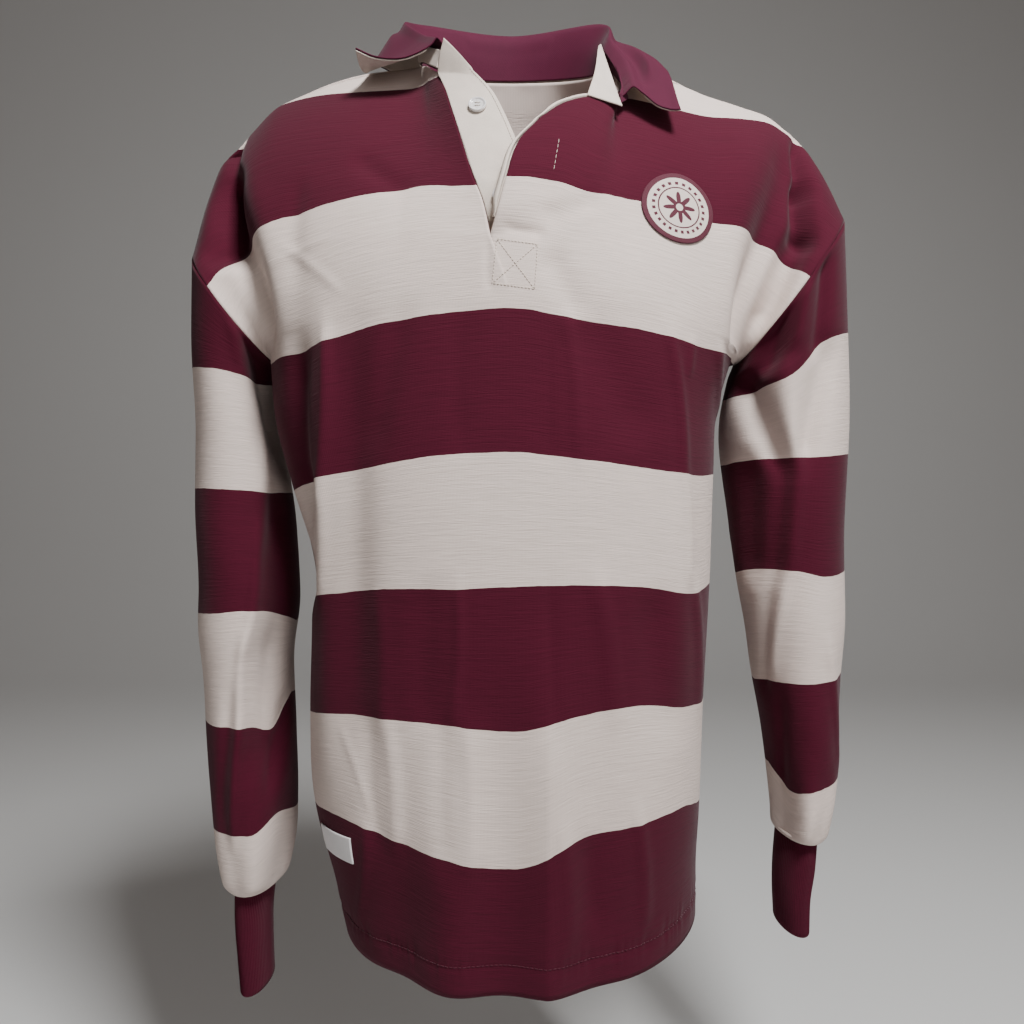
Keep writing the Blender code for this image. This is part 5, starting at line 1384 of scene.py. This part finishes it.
# Chest patch: a round embroidered badge, satin-stitched in maroon on ecru with a star of eight
# points in a ring of dots, and overlocked round its rim.
BADGE = {"x": 0.1290, "z": -0.1440}
BADGE_RADIUS = 0.030
def badge_material():
    made, tree, shader = cloth_material("Embroidered patch", 0.70, 0.05)
    flat = add_node(tree, "UVMap", uv_map="Cloth").outputs[0]
    parts = add_node(tree, "SeparateXYZ", {0: flat})

    def maths(operation, a, b=0.0, c=0.0):
        return add_node(tree, "Math", {0: a, 1: b, 2: c}, operation=operation).outputs[0]

    x, y = parts.outputs[0], parts.outputs[1]
    radius = maths("SQRT", maths("ADD", maths("MULTIPLY", x, x), maths("MULTIPLY", y, y)))
    turn = maths("ARCTAN2", y, x)

    def ring(low, high):
        return maths("MULTIPLY", maths("GREATER_THAN", radius, low), maths("LESS_THAN", radius, high))

    star_edge = maths("MULTIPLY_ADD", maths("COSINE", maths("MULTIPLY", turn, 8.0)), 0.0042, 0.0092)
    star = maths("LESS_THAN", radius, star_edge)
    heart = maths("LESS_THAN", radius, 0.0030)
    dot_turn = maths("COSINE", maths("MULTIPLY", turn, 24.0))
    dots = maths("MULTIPLY", maths("GREATER_THAN", dot_turn, 0.1), ring(0.0196, 0.0222))
    dark = maths("MAXIMUM", ring(0.0258, 0.032), maths("MAXIMUM", ring(0.0165, 0.0176), dots))
    dark = maths("MAXIMUM", dark, maths("SUBTRACT", star, heart))
    around = maths("SINE", maths("MULTIPLY", turn, 260.0))
    rows = maths("SINE", maths("MULTIPLY", maths("ADD", x, maths("MULTIPLY", y, 0.6)), 2 * math.pi / 0.0007))
    outer = maths("GREATER_THAN", radius, 0.0258)
    within = maths("SUBTRACT", 1.0, outer)
    relief = maths("ADD", maths("MULTIPLY", around, outer), maths("MULTIPLY", rows, within))
    relief = maths("ADD", maths("MULTIPLY", relief, 0.35), maths("MULTIPLY", dark, 1.6))
    yarn = add_node(tree, "Mix", {0: dark, 6: (0.66, 0.57, 0.52, 1), 7: (0.075, 0.0055, 0.0190, 1)},
                    data_type="RGBA")
    # Painted sheen: the yarn colour is mixed up to 3 % towards white along the satin stitch rows, a painted
    # highlight on the stitches.
    painted_sheen = add_node(tree, "Mix", {0: maths("MULTIPLY_ADD", rows, 0.015, 0.015), 6: yarn.outputs[2],
                                   7: (1, 1, 1, 1)}, data_type="RGBA")
    bump = add_node(tree, "Bump", {"Height": relief, "Strength": 0.6, "Distance": 0.0003})
    tree.links.new(painted_sheen.outputs[2], shader.inputs["Base Color"])
    tree.links.new(bump.outputs[0], shader.inputs["Normal"])
    return made


def badge_grid(rings, turns):
    r, t = np.meshgrid(np.linspace(0, 1, rings), np.linspace(0, 1, turns), indexing="ij")
    size = BADGE_RADIUS * r
    right, up = size * np.cos(2 * math.pi * t), size * np.sin(2 * math.pi * t)
    crown = 0.0008 + 0.0005 + 0.0003 * np.sqrt(np.clip(1 - r ** 8, 0, 1))
    point = on_front(1, BADGE["x"], BADGE["z"], right.ravel(), up.ravel(), crown.ravel()[:, None])
    return point.reshape(r.shape + (3,)), np.stack([right, up], axis=-1)


points, flat = badge_grid(40, 97)
badge = sheet_object("chest_patch", [(points, flat, True, True)])
give_wall(badge, 0.0008)
badge.data.materials.append(badge_material())
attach(badge, "root")
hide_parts("chest_badge")


# The stage: a pale sweep under and behind the jersey, a soft key light from above in front, weaker
# light from the front and the top, and the camera.
u, v = np.meshgrid(np.linspace(-3.5, 3.5, 3), np.linspace(0, 1, 40))
floor_z, back_y, bend = -0.98, 2.4, 1.2
run = v * (3.2 + back_y + bend * math.pi / 2 + 3.0)
arc = np.clip((run - 3.2 - back_y) / bend, 0, math.pi / 2)
flat_run = np.minimum(run, 3.2 + back_y)
rise_run = np.maximum(run - 3.2 - back_y - bend * math.pi / 2, 0)
sweep_y = -3.2 + flat_run + bend * np.sin(arc)
sweep_z = floor_z + bend * (1 - np.cos(arc)) + rise_run
sweep_points = np.stack([u, sweep_y, sweep_z], axis=-1)
sweep = sheet_object("sweep", [(sweep_points, np.stack([u, run], axis=-1), False, False)])
paper = bpy.data.materials.new("Pale paper")
paper.use_nodes = True
paper.node_tree.nodes["Principled BSDF"].inputs["Base Color"].default_value = (0.72, 0.72, 0.71, 1)
paper.node_tree.nodes["Principled BSDF"].inputs["Roughness"].default_value = 0.95
sweep.data.materials.append(paper)

world = bpy.data.worlds.new("Studio")
world.use_nodes = True
world.node_tree.nodes["Background"].inputs["Color"].default_value = (1.0, 0.84, 0.76, 1)
world.node_tree.nodes["Background"].inputs["Strength"].default_value = 0.08
bpy.context.scene.world = world
LIGHTS = (
    ("key", (0.42, -0.95, 1.05), (0.03, 0, -0.05), 0.40, 56.0),
    ("front", (1.10, -2.10, 0.05), (0, 0, -0.30), 1.0, 11.0),
    ("top", (-0.10, 0.10, 1.70), (0, 0, -0.20), 1.0, 4.0),
)
for name, place, target, size, power in LIGHTS:
    bpy.ops.object.light_add(type="AREA", location=place)
    lamp = bpy.context.object
    lamp.name = name
    lamp.data.size = size
    lamp.data.energy = power
    lamp.rotation_euler = (Vector(target) - Vector(place)).to_track_quat("-Z", "Y").to_euler()

bpy.ops.object.camera_add(location=(0.0, -0.80, -0.379), rotation=(math.pi / 2, 0, 0))
camera = bpy.context.object
camera.data.sensor_width = 36
camera.data.lens = 36 * 912 / 1024
bpy.context.scene.camera = camera
bpy.ops.object.select_all(action="DESELECT")
